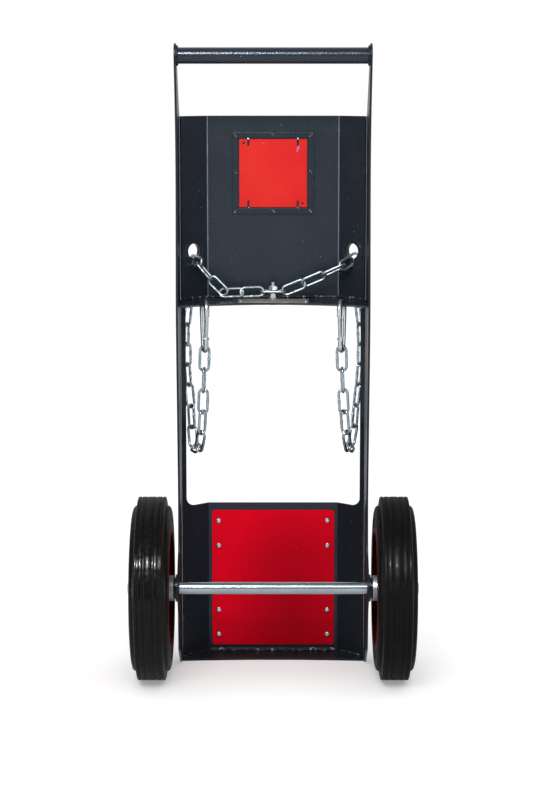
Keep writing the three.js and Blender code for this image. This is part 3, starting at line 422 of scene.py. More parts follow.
upright = basis((0, 0, 1), (1, 0, 0), (0, 1, 0))  # a turned piece standing up
upsideDown = basis((0, 0, -1), (1, 0, 0), (0, -1, 0))
outOfRear = basis((0, -1, 0), (1, 0, 0), (0, 0, -1))  # a turned piece pointing to the rear
intoPanel = basis((0, 1, 0), (-1, 0, 0), (0, 0, 1))
alongX = basis((0, 1, 0), (0, 0, 1), (1, 0, 0))  # a drawing in Y and Z, thick along X
facingRear = basis((1, 0, 0), (0, 0, 1), (0, -1, 0))  # a drawing in X and Z, thick towards the rear


def arcPoints(cx, cy, radius, start, end, count):
    points = []
    for i in range(count + 1):
        angle = math.radians(start + (end - start) * i / count)
        points.append((cx + radius * math.cos(angle), cy + radius * math.sin(angle)))
    return points


def circle(cx, cy, radius, count=40):
    return arcPoints(cx, cy, radius, 0, 360, count)[:-1]


def roundedBox(cx, cy, width, height, corner, count=6):
    x = width / 2 - corner
    y = height / 2 - corner
    points = []
    for sx, sy, start in ((1, -1, -90), (1, 1, 0), (-1, 1, 90), (-1, -1, 180)):
        points += arcPoints(cx + sx * x, cy + sy * y, corner, start, start + 90, count)
    return points


def flatPlate(name, outline, holes, thickness, bevel, rounds=2):
    drawing = bpy.data.curves.new(name, "CURVE")
    drawing.dimensions = "2D"
    drawing.fill_mode = "BOTH"
    drawing.extrude = (thickness / 2 - bevel) / 1000
    drawing.bevel_depth = bevel / 1000
    drawing.bevel_resolution = rounds
    drawing.offset = -bevel / 1000
    for loop in [outline, *holes]:
        spline = drawing.splines.new("POLY")
        spline.points.add(len(loop) - 1)
        for point, (x, y) in zip(spline.points, loop):
            point.co = (x / 1000, y / 1000, 0, 1)
        spline.use_cyclic_u = True
    holder = placed(name, drawing)
    graph = bpy.context.evaluated_depsgraph_get()
    mesh = bpy.data.meshes.new_from_object(holder.evaluated_get(graph))
    bpy.data.objects.remove(holder)
    bpy.data.curves.remove(drawing)
    with editing(mesh) as bm:
        bmesh.ops.remove_doubles(bm, verts=bm.verts, dist=1e-6)
    return mesh


def lathe(name, profile, steps=64, ringAt=None):
    # profile of [along, radius] corners, turned about X; closed where it doesn't end on the axis
    verts, faces = [], []
    count = len(profile)
    for i in range(steps):
        angle = 2 * math.pi * i / steps
        for along, radius in profile:
            if ringAt:
                along, radius = ringAt(along, radius, angle)
            verts.append((along, radius * math.cos(angle), radius * math.sin(angle)))
    onAxis = profile[0][1] == 0 and profile[-1][1] == 0
    for i in range(steps):
        near, far = i * count, ((i + 1) % steps) * count
        for k in range(count - 1 if onAxis else count):
            j = (k + 1) % count
            faces.append((near + k, far + k, far + j, near + j))
    mesh = meshFrom(name, verts, faces)
    with editing(mesh) as bm:
        bmesh.ops.remove_doubles(bm, verts=bm.verts, dist=1e-7)
        bmesh.ops.dissolve_degenerate(bm, edges=bm.edges, dist=1e-7)
    return mesh


def eased(profile, chamfer):
    # the same closed profile with each corner cut back a little
    points = []
    count = len(profile)
    for i in range(count):
        here = Vector(profile[i])
        for other in (Vector(profile[i - 1]), Vector(profile[(i + 1) % count])):
            way = other - here
            points.append(tuple(here + way.normalized() * min(chamfer, way.length * 0.4)))
    return points


def tube(name, points, radius, facets, closed=False, wave=None, flatten=1.0, up=(0, 0, 1)):
    points = [Vector(p) for p in points]
    count = len(points)
    tangents = []
    for i in range(count):
        before = points[i - 1] if closed or i > 0 else points[i]
        after = points[(i + 1) % count] if closed or i < count - 1 else points[i]
        tangents.append((after - before).normalized())
    normal = Vector(up)
    verts, faces = [], []
    for i, (point, tangent) in enumerate(zip(points, tangents)):
        normal = (normal - tangent * normal.dot(tangent)).normalized()
        side = tangent.cross(normal)
        size = radius * (wave(i) if wave else 1)
        for k in range(facets):
            angle = 2 * math.pi * k / facets
            out, across = size * flatten * math.cos(angle), size * math.sin(angle)
            verts.append(point + normal * out + side * across)
    for i in range(count if closed else count - 1):
        here, there = i * facets, ((i + 1) % count) * facets
        for k in range(facets):
            j = (k + 1) % facets
            faces.append((here + k, here + j, there + j, there + k))
    if not closed:
        faces.append(tuple(range(facets))[::-1])
        faces.append(tuple((count - 1) * facets + k for k in range(facets)))
    return meshFrom(name, verts, faces)


def spaced(points, step):
    points = [Vector(p) for p in points]
    result = [points[0]]
    for a, b in zip(points, points[1:]):
        pieces = max(1, round((b - a).length / step))
        result += [a.lerp(b, (i + 1) / pieces) for i in range(pieces)]
    return result


weldRipple = {"step": 1.1, "length": 3.4}


def weldBead(name, path, radius, material=coatedWeld, flatten=0.6, up=(0, 0, 1)):
    step, ripple = weldRipple["step"], weldRipple["length"]
    points = spaced(path, step)
    jitter = [random.uniform(-1, 1) for _ in points]

    def wave(i):
        ends = min(i, len(points) - 1 - i)
        taper = min(1.0, 0.35 + ends * 0.25)
        return taper * (1 + 0.16 * math.sin(2 * math.pi * i * step / ripple) + 0.1 * jitter[i])

    mesh = tube(name, points, radius, 8, False, wave, flatten, up)
    addPiece(name, mesh, material, sharp=60)


# side plates

sidePlate = {
    "inside": 147.5,
    "thickness": 3.4,
    "front": 108.68,
    "foot": 87.0,
    "panelTop": 879.0,
    "handle": (10.0, 972.0),
    "handleEnd": 18.5,
    "lobe": 21.0,
    "bore": 10.3,
    "rearEdge": (
        (23, 879), (31, 789), (20.5, 677), (10, 565), (26.5, 425.5), (43, 286), (34, 205), (10.5, 180),
    ),
    "heelEdge": ((10.5, 104), (17, 70), (21, 38)),
}


def through(points, steps=10):
    # a smooth curve through the points, without its first one
    points = [Vector(p) for p in points]
    result = []
    for i in range(len(points) - 1):
        p0, p1 = points[max(i - 1, 0)], points[i]
        p2, p3 = points[i + 1], points[min(i + 2, len(points) - 1)]
        v0, v1 = (p2 - p0) / 2, (p3 - p1) / 2
        for k in range(1, steps + 1):
            t = k / steps
            cubic = (p1 * 2 - p2 * 2 + v0 + v1) * t ** 3
            square = (p2 * 3 - p1 * 3 - v0 * 2 - v1) * t ** 2
            result.append(tuple(cubic + square + v0 * t + p1))
    return result


def sidePlateOutline():
    s = sidePlate
    hy, hz = s["handle"]
    points = [(s["foot"], 0.0), (s["front"], 0.0), (s["front"], s["panelTop"])]
    points.append((hy + s["handleEnd"], hz - s["handleEnd"] / 4))
    points += arcPoints(hy, hz, s["handleEnd"], 0, 180, 24)
    lobeTop = arcPoints(0, axleHeight, s["lobe"], 135, 225, 16)
    points += through([points[-1], *s["rearEdge"], lobeTop[0]])
    points += lobeTop[1:]
    points += through([points[-1], *s["heelEdge"]])
    return points


def buildSidePlates():
    hole = circle(0, axleHeight, sidePlate["bore"])
    mesh = flatPlate("sidePlate", sidePlateOutline(), [hole], sidePlate["thickness"], 0.35)
    mesh.transform(shifted(sidePlate["inside"] + sidePlate["thickness"] / 2, axleForward, 0) @ alongX)
    sidePair("sidePlate", mesh, sideShadeCoat, "side_plate")


buildSidePlates()
print("side plates ready")


# push handle

handle = {"radius": 12.5, "wall": 2.0, "half": 147.25, "weld": 2.5, "weldInset": 0.9}


def buildHandle():
    hy, hz = sidePlate["handle"]
    r, inner, half = handle["radius"], handle["radius"] - handle["wall"], handle["half"]
    profile = eased([(-half, inner), (half, inner), (half, r), (-half, r)], 0.3)
    mesh = lathe("handleTube", profile, 72)
    mesh.transform(shifted(0, hy + axleForward, hz))
    addPiece("handleTube", mesh, handleCoat, "handle_tube", sharp=25)
    for sideName, side in sides:
        x = side * (half - handle["weldInset"])
        ring = [(x, *p) for p in circle(hy + axleForward, hz, r + 0.4, 72)]
        ring.append(ring[0])
        weldBead(f"handleWeld{sideName.title()}", ring, handle["weld"], flatten=0.8, up=(1, 0, 0))


buildHandle()
print("handle ready")


# back panel

panel = {
    "rear": 145.0,
    "thickness": 2.5,
    "half": 105.0,
    "depth": 40.0,
    "bend": 5.0,
    "bottom": 4.25,
    "top": 879.0,
    "edge": 147.25,
    "window": (252.0, 582.0, 139.7, 14.0, 4.0),  # low, high, half width, lower and upper corner
    "keyhole": (126.25, 665.0, 12.0, 2.9, 25.0),  # x, z, radius, half slot, drop
    "bendSteps": 8,
    "footTop": 400.0,
}
keyholeRing = {"outer": 20.0, "thickness": 4.0, "rim": 18.5, "rimGap": 4.5, "rimWire": 0.75}
slope = math.atan(panel["depth"] / (sidePlate["inside"] - panel["half"]))
flatHalf = panel["half"] - panel["bend"] * math.tan(slope / 2)
bendLength = panel["bend"] * slope


def bent(u, w):
    # a place on the unrolled sheet, w in front of its rear face, as X and Y of the cart
    side = 1 if u >= 0 else -1
    u = abs(u)
    radius = panel["bend"] + w
    centre = panel["rear"] - panel["bend"] + axleForward
    if u <= flatHalf:
        return side * u, centre + radius
    turn = min((u - flatHalf) / panel["bend"], slope)
    past = max(0.0, u - flatHalf - bendLength)
    x = flatHalf + radius * math.sin(turn) + past * math.cos(slope)
    return side * x, centre + radius * math.cos(turn) - past * math.sin(slope)


def unrolled(x):
    # how far along the flat sheet a place of the rear face lies
    side = 1 if x >= 0 else -1
    x = abs(x)
    if x <= flatHalf:
        return side * x
    arcEnd = flatHalf + panel["bend"] * math.sin(slope)
    if x >= arcEnd:
        return side * (flatHalf + bendLength + (x - arcEnd) / math.cos(slope))
    return side * (flatHalf + panel["bend"] * math.asin((x - flatHalf) / panel["bend"]))


def keyholeLoop(side):
    x, z, radius, half, drop = panel["keyhole"]
    u = unrolled(x)
    meet = math.degrees(math.asin(half / radius))
    loop = arcPoints(u, z, radius, -90 + meet, 270 - meet, 40)
    loop += arcPoints(u, z - drop + half, half, 180, 360, 14)
    return [(side * a, b) for a, b in loop]


def sliced(bm, at, facing, **options):
    everything = bm.verts[:] + bm.edges[:] + bm.faces[:]
    return bmesh.ops.bisect_plane(bm, geom=everything, plane_co=at, plane_no=facing, **options)


def trimmed(mesh, edge):
    with editing(mesh) as bm:
        for side in (1, -1):
            made = sliced(bm, (side * edge / 1000, 0, 0), (side, 0, 0), clear_outer=True)
            edges = [e for e in made["geom_cut"] if isinstance(e, bmesh.types.BMEdge)]
            bmesh.ops.edgenet_fill(bm, edges=edges)
    return mesh


def windowLoop():
    low, high, half, corner, small = panel["window"]
    window = arcPoints(half - corner, low + corner, corner, -90, 0, 10)
    window += arcPoints(half - small, high - small, small, 0, 90, 6)
    window += arcPoints(small - half, high - small, small, 90, 180, 6)
    window += arcPoints(corner - half, low + corner, corner, 180, 270, 10)
    dense = spaced([(*a, 0) for a in [*window, window[0]]], 6)[:-1]
    return [(unrolled(a), b) for a, b, _ in dense]


def panelFinish(u, z, w):
    # which of the panel's finishes a place on the unrolled sheet has: 1 is a painted highlight along the
    # upper bends, 2 and 3 are painted shade on the lower wings and flats
    past = (abs(u) - flatHalf) / bendLength
    if w >= 0:
        return 0
    if z < panel["footTop"]:
        return 2 if past >= 0.75 else 3
    return 1 if 0.3 < past < 0.75 else 0


def buildPanel():
    p = panel
    reach = unrolled(p["edge"]) + 3
    outline = [(-reach, p["bottom"]), (reach, p["bottom"]), (reach, p["top"]), (-reach, p["top"])]
    holes = [windowLoop(), keyholeLoop(1), keyholeLoop(-1)]
    mesh = flatPlate("backPanel", outline, holes, p["thickness"], 0.35)
    with editing(mesh) as bm:
        for side in (1, -1):
            for i in range(p["bendSteps"] + 1):
                u = side * (flatHalf + bendLength * i / p["bendSteps"])
                sliced(bm, (u / 1000, 0, 0), (1, 0, 0), dist=1e-7)
        sliced(bm, (0, p["footTop"] / 1000, 0), (0, 1, 0), dist=1e-7)
        for face in bm.faces:
            face.material_index = panelFinish(*(face.calc_center_median() * 1000))
        for vert in bm.verts:
            u, z, w = vert.co * 1000
            vert.co = metres((*bent(u, w + p["thickness"] / 2), z))
    others = (bendHighlightCoat, lowerShadeCoat, footFlatShadeCoat)
    addPiece("backPanel", trimmed(mesh, p["edge"]), frameCoat, "back_panel", others=others)


def sheetFrame(height, lift):
    # x along the sheet, y up, z out of its front, on the right wing at the keyhole
    px, py = bent(unrolled(panel["keyhole"][0]), lift)
    out = Vector((math.sin(slope), math.cos(slope), 0))
    across = Vector((0, 0, 1)).cross(out)
    return basis(across, (0, 0, 1), out, (px, py, height))


def openRing(radius, gap, count):
    # an arc that leaves out the gap at its foot
    cut = math.degrees(math.asin(gap / radius))
    return arcPoints(0, 0, radius, -90 + cut, 270 - cut, count)


def buildKeyholeRings():
    _, z, radius, half, _ = panel["keyhole"]
    thick = keyholeRing["thickness"]
    outline = openRing(keyholeRing["outer"], half, 60) + openRing(radius, half, 44)[::-1]
    mesh = flatPlate("keyholeRing", outline, [], thick, 0.5)
    mesh.transform(sheetFrame(z, panel["thickness"] + seam + thick / 2))
    sidePair("keyholeRing", mesh, frameCoat, "keyhole_ring")


def buildKeyholeRims():
    # the sleeve round each hole shows on the rear as a thin raised ring
    route = [(x, y, 0) for x, y in openRing(keyholeRing["rim"], keyholeRing["rimGap"], 72)]
    mesh = tube("keyholeRim", route, keyholeRing["rimWire"], 8, flatten=0.5, up=(0, 0, 1))
    sidePair("keyholeRim", moved(mesh, sheetFrame(panel["keyhole"][1], 0.0)), frameCoat, sharp=60)


buildPanel()
buildKeyholeRings()
buildKeyholeRims()
print("back panel ready")


# toe plate and shelf

toe = {"thickness": 4.0, "half": 150.0, "reach": 260.0, "corner": 12.0, "rear": (97.0, 90.0)}
shelf = {
    "top": 589.0,
    "thickness": 3.0,
    "rear": (56.0, 11.0),  # its hollow edge at the middle and at the corners
    "gap": 0.35,
    "hook": (107.0, 2.5),  # the carabiner's place across the cart and in from the edge
    "hookHole": (7.25, 12.04, 14.0),  # radius, distance from the carabiner's middle and turn
    "bolt": 112.0,
    "boltHole": 4.3,
}


def hollowRadius(half, rise):
    return (half * half + rise * rise) / (2 * rise)


def hollowEdge(half, middle, corner, count=48):
    radius = hollowRadius(half, middle - corner)
    reach = math.degrees(math.asin(half / radius))
    return arcPoints(0, middle - radius, radius, 90 + reach, 90 - reach, count)


def shelfEdgeAt(x):
    middle, corner = shelf["rear"]
    radius = hollowRadius(panel["edge"], middle - corner)
    return middle - radius + math.sqrt(radius * radius - x * x)


def buildToePlate():
    inner, outer, c = panel["edge"], toe["half"], toe["corner"]
    front = panel["rear"] + panel["thickness"] + toe["reach"]
    step = sidePlate["front"] + seam
    outline = hollowEdge(inner, *toe["rear"])
    outline += [(inner, step), (outer, step)]
    outline += arcPoints(outer - c, front - c, c, 0, 90, 12)
    outline += arcPoints(-outer + c, front - c, c, 90, 180, 12)
    outline += [(-outer, step), (-inner, step)]
    mesh = flatPlate("toePlate", outline, [], toe["thickness"], 0.6)
    mesh.transform(shifted(0, axleForward, toe["thickness"] / 2))
    addPiece("toePlate", mesh, lowerShadeCoat, "toe_plate")


def buildShelf():
    inner, half = panel["edge"], panel["half"]
    front = panel["rear"] - shelf["gap"]
    tangent = math.tan(slope)
    reach = panel["bend"] * math.tan(slope / 2)
    outline = hollowEdge(inner, *shelf["rear"])
    outline.append((inner, front - tangent * (inner - half)))
    outline += [(half + reach, front - tangent * reach), (half - reach, front)]
    outline += [(-x, y) for x, y in outline[-1:-4:-1]]
    side, inset = shelf["hook"]
    radius, limb, turn = shelf["hookHole"]
    x = side + limb * math.sin(math.radians(turn))
    y = shelfEdgeAt(side) + inset + limb * math.cos(math.radians(turn))
    holes = [circle(x, y, radius), circle(-x, y, radius), circle(0, shelf["bolt"], shelf["boltHole"])]
    mesh = flatPlate("shelf", outline, holes, shelf["thickness"], 0.5)
    mesh.transform(shifted(0, axleForward, shelf["top"] - shelf["thickness"] / 2))
    addPiece("shelfSheet", mesh, frameCoat, "shelf")


blank = {
    "length": 112.0,
    "width": 46.0,
    "corner": 3.0,
    "middle": 80.0,
    "thickness": 1.5,
    "rivet": (2.6, 1.7, 3.5),  # radius, height and shank
    "rivetRow": 62.0,
    "rivetInset": 4.5,
}


def domeProfile(radius, height, shank):
    profile = [(-shank, 0.0), (-shank, radius * 0.5), (0.0, radius * 0.5), (0.0, radius)]
    for degrees in (15, 32, 50, 70):
        angle = math.radians(degrees)
        profile.append((height * math.sin(angle), radius * math.cos(angle)))
    return profile + [(height, 0.0)]


def buildBlankPlate():
    b = blank
    outline = roundedBox(0, b["middle"], b["length"], b["width"], b["corner"])
    mesh = flatPlate("blankPlate", outline, [], b["thickness"], 0.3)
    base = shelf["top"] + seam
    mesh.transform(shifted(0, axleForward, base + b["thickness"] / 2))
    addPiece("blankPlate", mesh, blankSteel, "shelf_blank_plate")
    for sideName, side in sides:
        x = side * (b["length"] / 2 - b["rivetInset"])
        place = shifted(x, b["rivetRow"] + axleForward, base + b["thickness"]) @ upright
        head = moved(lathe("rivet", domeProfile(*b["rivet"]), 28), place)
        addPiece("blankPlateRivet" + sideName.title(), head, fastenerZinc, None, 30)


buildToePlate()
buildShelf()
buildBlankPlate()
print("toe plate and shelf ready")


# red plates

redPlate = {
    "thickness": 2.0,
    "lower": (200.0, 226.0, 127.0),  # width, height and middle
    "lowerCorner": 4.0,
    "upper": (108.0, 788.0),  # size and middle
    "slots": (39.5, 3.6, 11.0),  # column, width and length
    "pegs": (47.0, 48.0, 2.0),  # place and radius
}
upperFrame = {"thickness": 3.0, "outside": (130.0, 2.0), "inside": (112.0, 1.5)}  # size and corner
screws = {
    "column": 89.0,
    "rows": (95.5, 54.0, -54.0, -95.5),
    "head": 4.25,
    "height": 2.6,
    "crown": ((1.0, 0.62), (0.93, 0.74), (0.72, 0.9), (0.35, 0.985)),  # shares of height and radius
    "socket": 1.55,
    "socketDepth": 1.0,
    "shank": 2.5,
    "pitch": 0.8,
    "turns": 9,
    "end": 8.6,
}
plateFace = panel["rear"] - seam + axleForward  # where the red plates sit
frameFace = plateFace - upperFrame["thickness"]


def hexRadius(apothem, angle):
    step = math.pi / 3
    return apothem / math.cos((angle % step) - step / 2)


def screwMesh():
    head, tall, socket, shank = (screws[key] for key in ("head", "height", "socket", "shank"))
    bottom = screws["socketDepth"] - tall
    profile = [(bottom, 0.0), (bottom, socket), (-tall, socket)]
    profile += [(-tall * up, head * out) for up, out in screws["crown"]]
    profile += [(-0.05, head), (0.0, head * 0.97), (0.0, shank)]
    for i in range(screws["turns"]):
        along = i * screws["pitch"]
        profile += [(0.6 + along, shank), (1.0 + along, shank * 0.87)]
    profile += [(screws["end"] - 0.2, shank * 0.6), (screws["end"], 0.0)]

    def hexSocket(along, radius, angle):
        return (along, hexRadius(radius, angle)) if radius == socket else (along, radius)

    return lathe("screw", profile, 36, hexSocket)


def buildLowerPlate():
    width, height, centre = redPlate["lower"]
    thick = redPlate["thickness"]
    outline = roundedBox(0, centre, width, height, redPlate["lowerCorner"])
    mesh = flatPlate("lowerRedPlate", outline, [], thick, 0.3)
    mesh.transform(shifted(0, plateFace - thick / 2, 0) @ facingRear)
    addPiece("lowerRedPlate", mesh, lowerRed, "lower_red_plate")
    places = [(x, row) for row in screws["rows"] for x in (-screws["column"], screws["column"])]
    for number, (x, row) in enumerate(places, 1):
        turn = Matrix.Rotation(random.uniform(0, 1), 4, "X")
        place = shifted(x, plateFace - thick - seam, centre + row) @ intoPanel @ turn
        screw = moved(screwMesh(), place)
        addPiece(f"plateScrew{number}", screw, fastenerZinc, f"lower_plate_screw_{number}", 32)


def notchedSquare(size, centre, column, width, length):
    half, w = size / 2, width / 2
    top = [(half, half)]
    for x in (column, -column):
        top += [(x + w, half), *arcPoints(x, half - length + w, w, 0, -180, 8), (x - w, half)]
    top.append((-half, half))
    return [(x, y + centre) for x, y in top + [(-x, -y) for x, y in top]]


scuffs = {
    "places": ((39.7, 39.4, 1.0), (-15.0, 47.3, 0.28)),  # x, z and scale
    "outline": (
        (-2.4, -5.2), (-1.2, -5.6), (0.3, -2.2), (2.0, -0.8), (1.2, 1.2),
        (2.3, 4.6), (1.2, 5.2), (-0.4, 1.6), (-2.2, 0.4), (-1.4, -1.8),
    ),
    "thickness": 0.12,
    "lift": 0.05,
}


def buildUpperPlate():
    size, centre = redPlate["upper"]
    thick = redPlate["thickness"]
    x, z, radius = redPlate["pegs"]
    holes = [circle(-x, centre + z, radius, 20), circle(x, centre - z, radius, 20)]
    mesh = flatPlate("upperRedPlate", notchedSquare(size, centre, *redPlate["slots"]), holes, thick, 0.25)
    mesh.transform(shifted(0, plateFace - thick / 2, 0) @ facingRear)
    addPiece("upperRedPlate", mesh, upperRed, "upper_red_plate")
    edges = [upperFrame["outside"], upperFrame["inside"]]
    outline, opening = (roundedBox(0, centre, wide, wide, corner) for wide, corner in edges)
    ring = flatPlate("upperFrame", outline, [opening], upperFrame["thickness"], 0.4)
    ring.transform(shifted(0, plateFace - upperFrame["thickness"] / 2, 0) @ facingRear)
    addPiece("upperPlateFrame", ring, edgeCoat, "upper_plate_frame")
    for number, (x, z, scale) in enumerate(scuffs["places"], 1):
        mark = [(x + a * scale, centre + z + b * scale) for a, b in scuffs["outline"]]
        chip = flatPlate("scuff", mark, [], scuffs["thickness"], 0.02, 1)
        chip.transform(shifted(0, plateFace - thick - scuffs["lift"], 0) @ facingRear)
        addPiece(f"paintScuff{number}", chip, scuffLilac, None, 30)


buildLowerPlate()
buildUpperPlate()
print("red plates ready")


# axle and wheels

axle = {"radius": 10.0, "end": 225.6, "bore": 10.3}
boss = {"start": 150.25, "length": 6.0, "flange": 3.0, "neck": 17.0, "radius": 21.5}
washers = {"radius": 20.0, "wheelSide": 164.0, "outer": (216.25, 218.75)}
capProfile = (
    (225.85, 0.0), (225.85, 10.3), (219.0, 10.3), (219.0, 15.7), (219.3, 16.0), (220.7, 16.0), (221.0, 15.7),
    (221.2, 13.4), (221.6, 13.0), (225.4, 12.9), (227.0, 12.2), (228.4, 10.2), (229.3, 7.4), (229.85, 4.0),
    (230.0, 0.0),
)


def axlePiece(name, mesh, sideName, material, node, sharp=25, body="frame"):
    mesh.transform(shifted(0, axleForward, axleHeight))
    copy = mesh if sideName == "right" else mirroredMesh(mesh)
    addPiece(name + sideName.title(), copy, material, f"{sideName}_{node}", sharp, body)


def ringProfile(start, end, inner, outer):
    return [(start, inner), (end, inner), (end, outer), (start, outer)]


def rodProfile(start, end, radius, taper, drop):
    tip = radius - drop
    near = [(start, 0.0), (start, tip), (start + taper, radius)]
    return near + [(end - taper, radius), (end, tip), (end, 0.0)]


def washerMesh(start, end):
    return lathe("washer", eased(ringProfile(start, end, axle["bore"], washers["radius"]), 0.5), 64)


def buildAxle():
    rod = lathe("axle", rodProfile(-axle["end"], axle["end"], axle["radius"], 1, 1), 72)
    addPiece("axleRod", moved(rod, shifted(0, axleForward, axleHeight)), axleZinc, "axle", 25)
    start, bore, neck, radius = boss["start"], axle["bore"], boss["neck"], boss["radius"]
    flange, end = start + boss["flange"], start + boss["length"]
    profile = [(start, bore), (end, bore), (end, neck), (flange, neck), (flange, radius), (start, radius)]
    thick = (washers["wheelSide"] - seam - end) / 2 - seam
    for sideName, _ in sides:
        collar = lathe("boss", eased(profile, 0.5), 64)
        axlePiece("axleBoss", collar, sideName, bossBlack, "axle_boss")
        for i in range(2):
            at = end + seam + i * (thick + seam)
            ring = washerMesh(at, at + thick)
            axlePiece(f"innerWasher{i + 1}", ring, sideName, washerZinc, f"inner_washer_{i + 1}")
        axlePiece("outerWasher", washerMesh(*washers["outer"]), sideName, fastenerZinc, "outer_washer")
        axlePiece("axleCap", lathe("cap", capProfile, 56), sideName, capSteel, "axle_cap")


wheel = {"centre": 190.0, "width": 61.0, "play": 0.3}
tyre = {
    "radius": 144.0,
    "tread": 43.0,
    "grooves": (7.0, 16.0),
    # sideways and down: from a groove's middle, from the tread's edge, in from the side
    "groove": ((-1.5, 0.0), (-0.9, 0.35), (-0.5, 1.5), (0.5, 1.5), (0.9, 0.35), (1.5, 0.0)),
    "shoulder": (
        (-1.4, 0.0), (-0.4, 0.5), (0.0, 1.8), (1.1, 8.0), (1.3, 10.5), (0.9, 12.2), (1.4, 13.4), (3.2, 14.0),
    ),
    "wall": (
        (3.2, 15.2), (1.5, 17.5), (0.4, 21.5), (0.0, 26.5), (0.1, 31.0),
        (0.5, 33.0), (1.3, 33.6), (1.4, 35.4), (0.8, 36.2),
    ),
}
rim = {
    "seat": 92.0,
    "lip": 5.0,
    "sheet": 3.0,
    "dish": 22.0,
    "ridge": ((0.0, 30.0), (1.475, 33.0), (1.475, 58.0), (0.0, 61.5)),  # rise and radius
}
hub = {"radius": 20.0, "bore": 15.5, "length": 52.0}
bearing = {"rollers": 8, "roller": 2.45, "rollerInset": 6.0, "cage": 2.0, "cageInset": 4.0}
hubStart, hubEnd = (wheel["centre"] + way * hub["length"] / 2 for way in (-1, 1))


def tyreProfile():
    top, half, tread = tyre["radius"], wheel["width"] / 2, tyre["tread"] / 2
    seat = rim["seat"] + wheel["play"]
    lip = rim["seat"] + rim["lip"] + wheel["play"]
    edge = half - rim["sheet"] - wheel["play"]
    side = [(at + a, top - down) for at in tyre["grooves"] for a, down in tyre["groove"]]
    side += [(tread + a, top - down) for a, down in tyre["shoulder"]]
    side += [(half - a, top - down) for a, down in tyre["wall"]]
    side += [(half - 0.7, lip + 4.0), (half - 1.4, lip + 1.4), (edge, lip), (edge, seat)]
    return [(-a, r) for a, r in reversed(side)] + side


def rimProfile():
    half, seat, sheet = wheel["width"] / 2, rim["seat"], rim["sheet"]
    foot, dish = seat - rim["dish"], half - rim["dish"]
    under, lip = seat - sheet, seat + rim["lip"]
    near, far = seam / 2, seam / 2 + sheet
    bore = hub["radius"] + seam
    profile = [(near, bore), (far, bore)]
    profile += [(far + rise, radius) for rise, radius in rim["ridge"]]
    profile += [(far, foot - sheet), (dish, under), (half - 2, under), (half, under + 1.5), (half, lip - 1)]
    profile += [(half - 1, lip), (half - sheet, lip), (half - sheet, seat)]
    profile += [(dish - sheet, seat), (near, foot)]
    return profile


def bearingMesh():
    b = bearing
    middle = (axle["bore"] + hub["bore"] - wheel["play"]) / 2
    wall, inset = b["cage"] / 2, b["cageInset"]
    cage = ringProfile(hubStart + inset, hubEnd - inset, middle - wall, middle + wall)
    pieces = [lathe("cage", eased(cage, 0.3), 48)]
    inset = b["rollerInset"]
    for i in range(b["rollers"]):
        angle = 2 * math.pi / b["rollers"] * i
        roller = lathe("roller", rodProfile(hubStart + inset, hubEnd - inset, b["roller"], 0.4, 0.45), 16)
        pieces.append(moved(roller, shifted(0, middle * math.cos(angle), middle * math.sin(angle))))
    return joined("rollerBearing", pieces)


def buildWheels():
    centre = wheel["centre"]
    for sideName, _ in sides:
        body = f"{sideName}_wheel"
        mesh = lathe("tyre", [(a + centre, r) for a, r in tyreProfile()], 160)
        axlePiece("tyre", mesh, sideName, tyreRubber[sideName], "tyre", 32, body)
        for name, way, coat in (("Outer", 1, rimRed), ("Inner", -1, rimPaintedShade)):
            mesh = lathe("rim", [(centre + way * a, r) for a, r in rimProfile()], 128)
            node = f"rim_{name.lower()}_half"
            axlePiece(f"rim{name}Half", mesh, sideName, coat, node, 28, body)
        mesh = lathe("hub", eased(ringProfile(hubStart, hubEnd, hub["bore"], hub["radius"]), 0.8), 64)
        axlePiece("hub", mesh, sideName, hubZinc, "hub", 28, body)
        mesh = bearingMesh()
        axlePiece("rollerBearing", mesh, sideName, bossBlack, "roller_bearing", 30, body)


buildAxle()
buildWheels()
print("axle and wheels ready")


# chain

chain = {"wire": 4.4, "width": 18.8, "weld": (0.21, 0.1225)}  # weld: growth at its middle and beside it
bowSteps, limbSteps = 10, 12


def linkMesh(start, end, facing):
    # one welded link from joint to joint; facing is square to its flat side
    start, end = Vector(start), Vector(end)
    along = (end - start).normalized()
    normal = (Vector(facing) - along * along.dot(Vector(facing))).normalized()
    across = normal.cross(along)
    half = (end - start).length / 2 + chain["wire"] / 2
    bow = (chain["width"] - chain["wire"]) / 2
    flat = half - bow
    middle = (start + end) / 2
    bend = arcPoints(flat, 0, bow, -90, 90, bowSteps)
    limb = [(flat - 2 * flat * i / limbSteps, bow) for i in range(1, limbSteps)]
    route = [(way * a, way * b) for way in (1, -1) for a, b in bend + limb]
    weldAt = bowSteps + limbSteps // 2  # middle of one limb

    def wave(i):
        gap = abs(i - weldAt)
        return 1 + chain["weld"][gap] if gap < 2 else 1

    points = [middle + along * a + across * b for a, b in route]
    return tube("link", points, chain["wire"] / 2, 12, True, wave, 1.0, normal)


def rolled(facing, along, degrees):
    return Matrix.Rotation(math.radians(degrees), 3, along.normalized()) @ facing


def levelLink(start, end, roll):
    along = Vector(end) - Vector(start)
    return linkMesh(start, end, rolled(Vector((0, 0, 1)).cross(along), along, roll))


def chainPiece(name, mesh, sideName, material, node, body="frame"):
    addPiece(name + sideName.title(), mesh, material, f"{sideName}_{node}", 40, body)


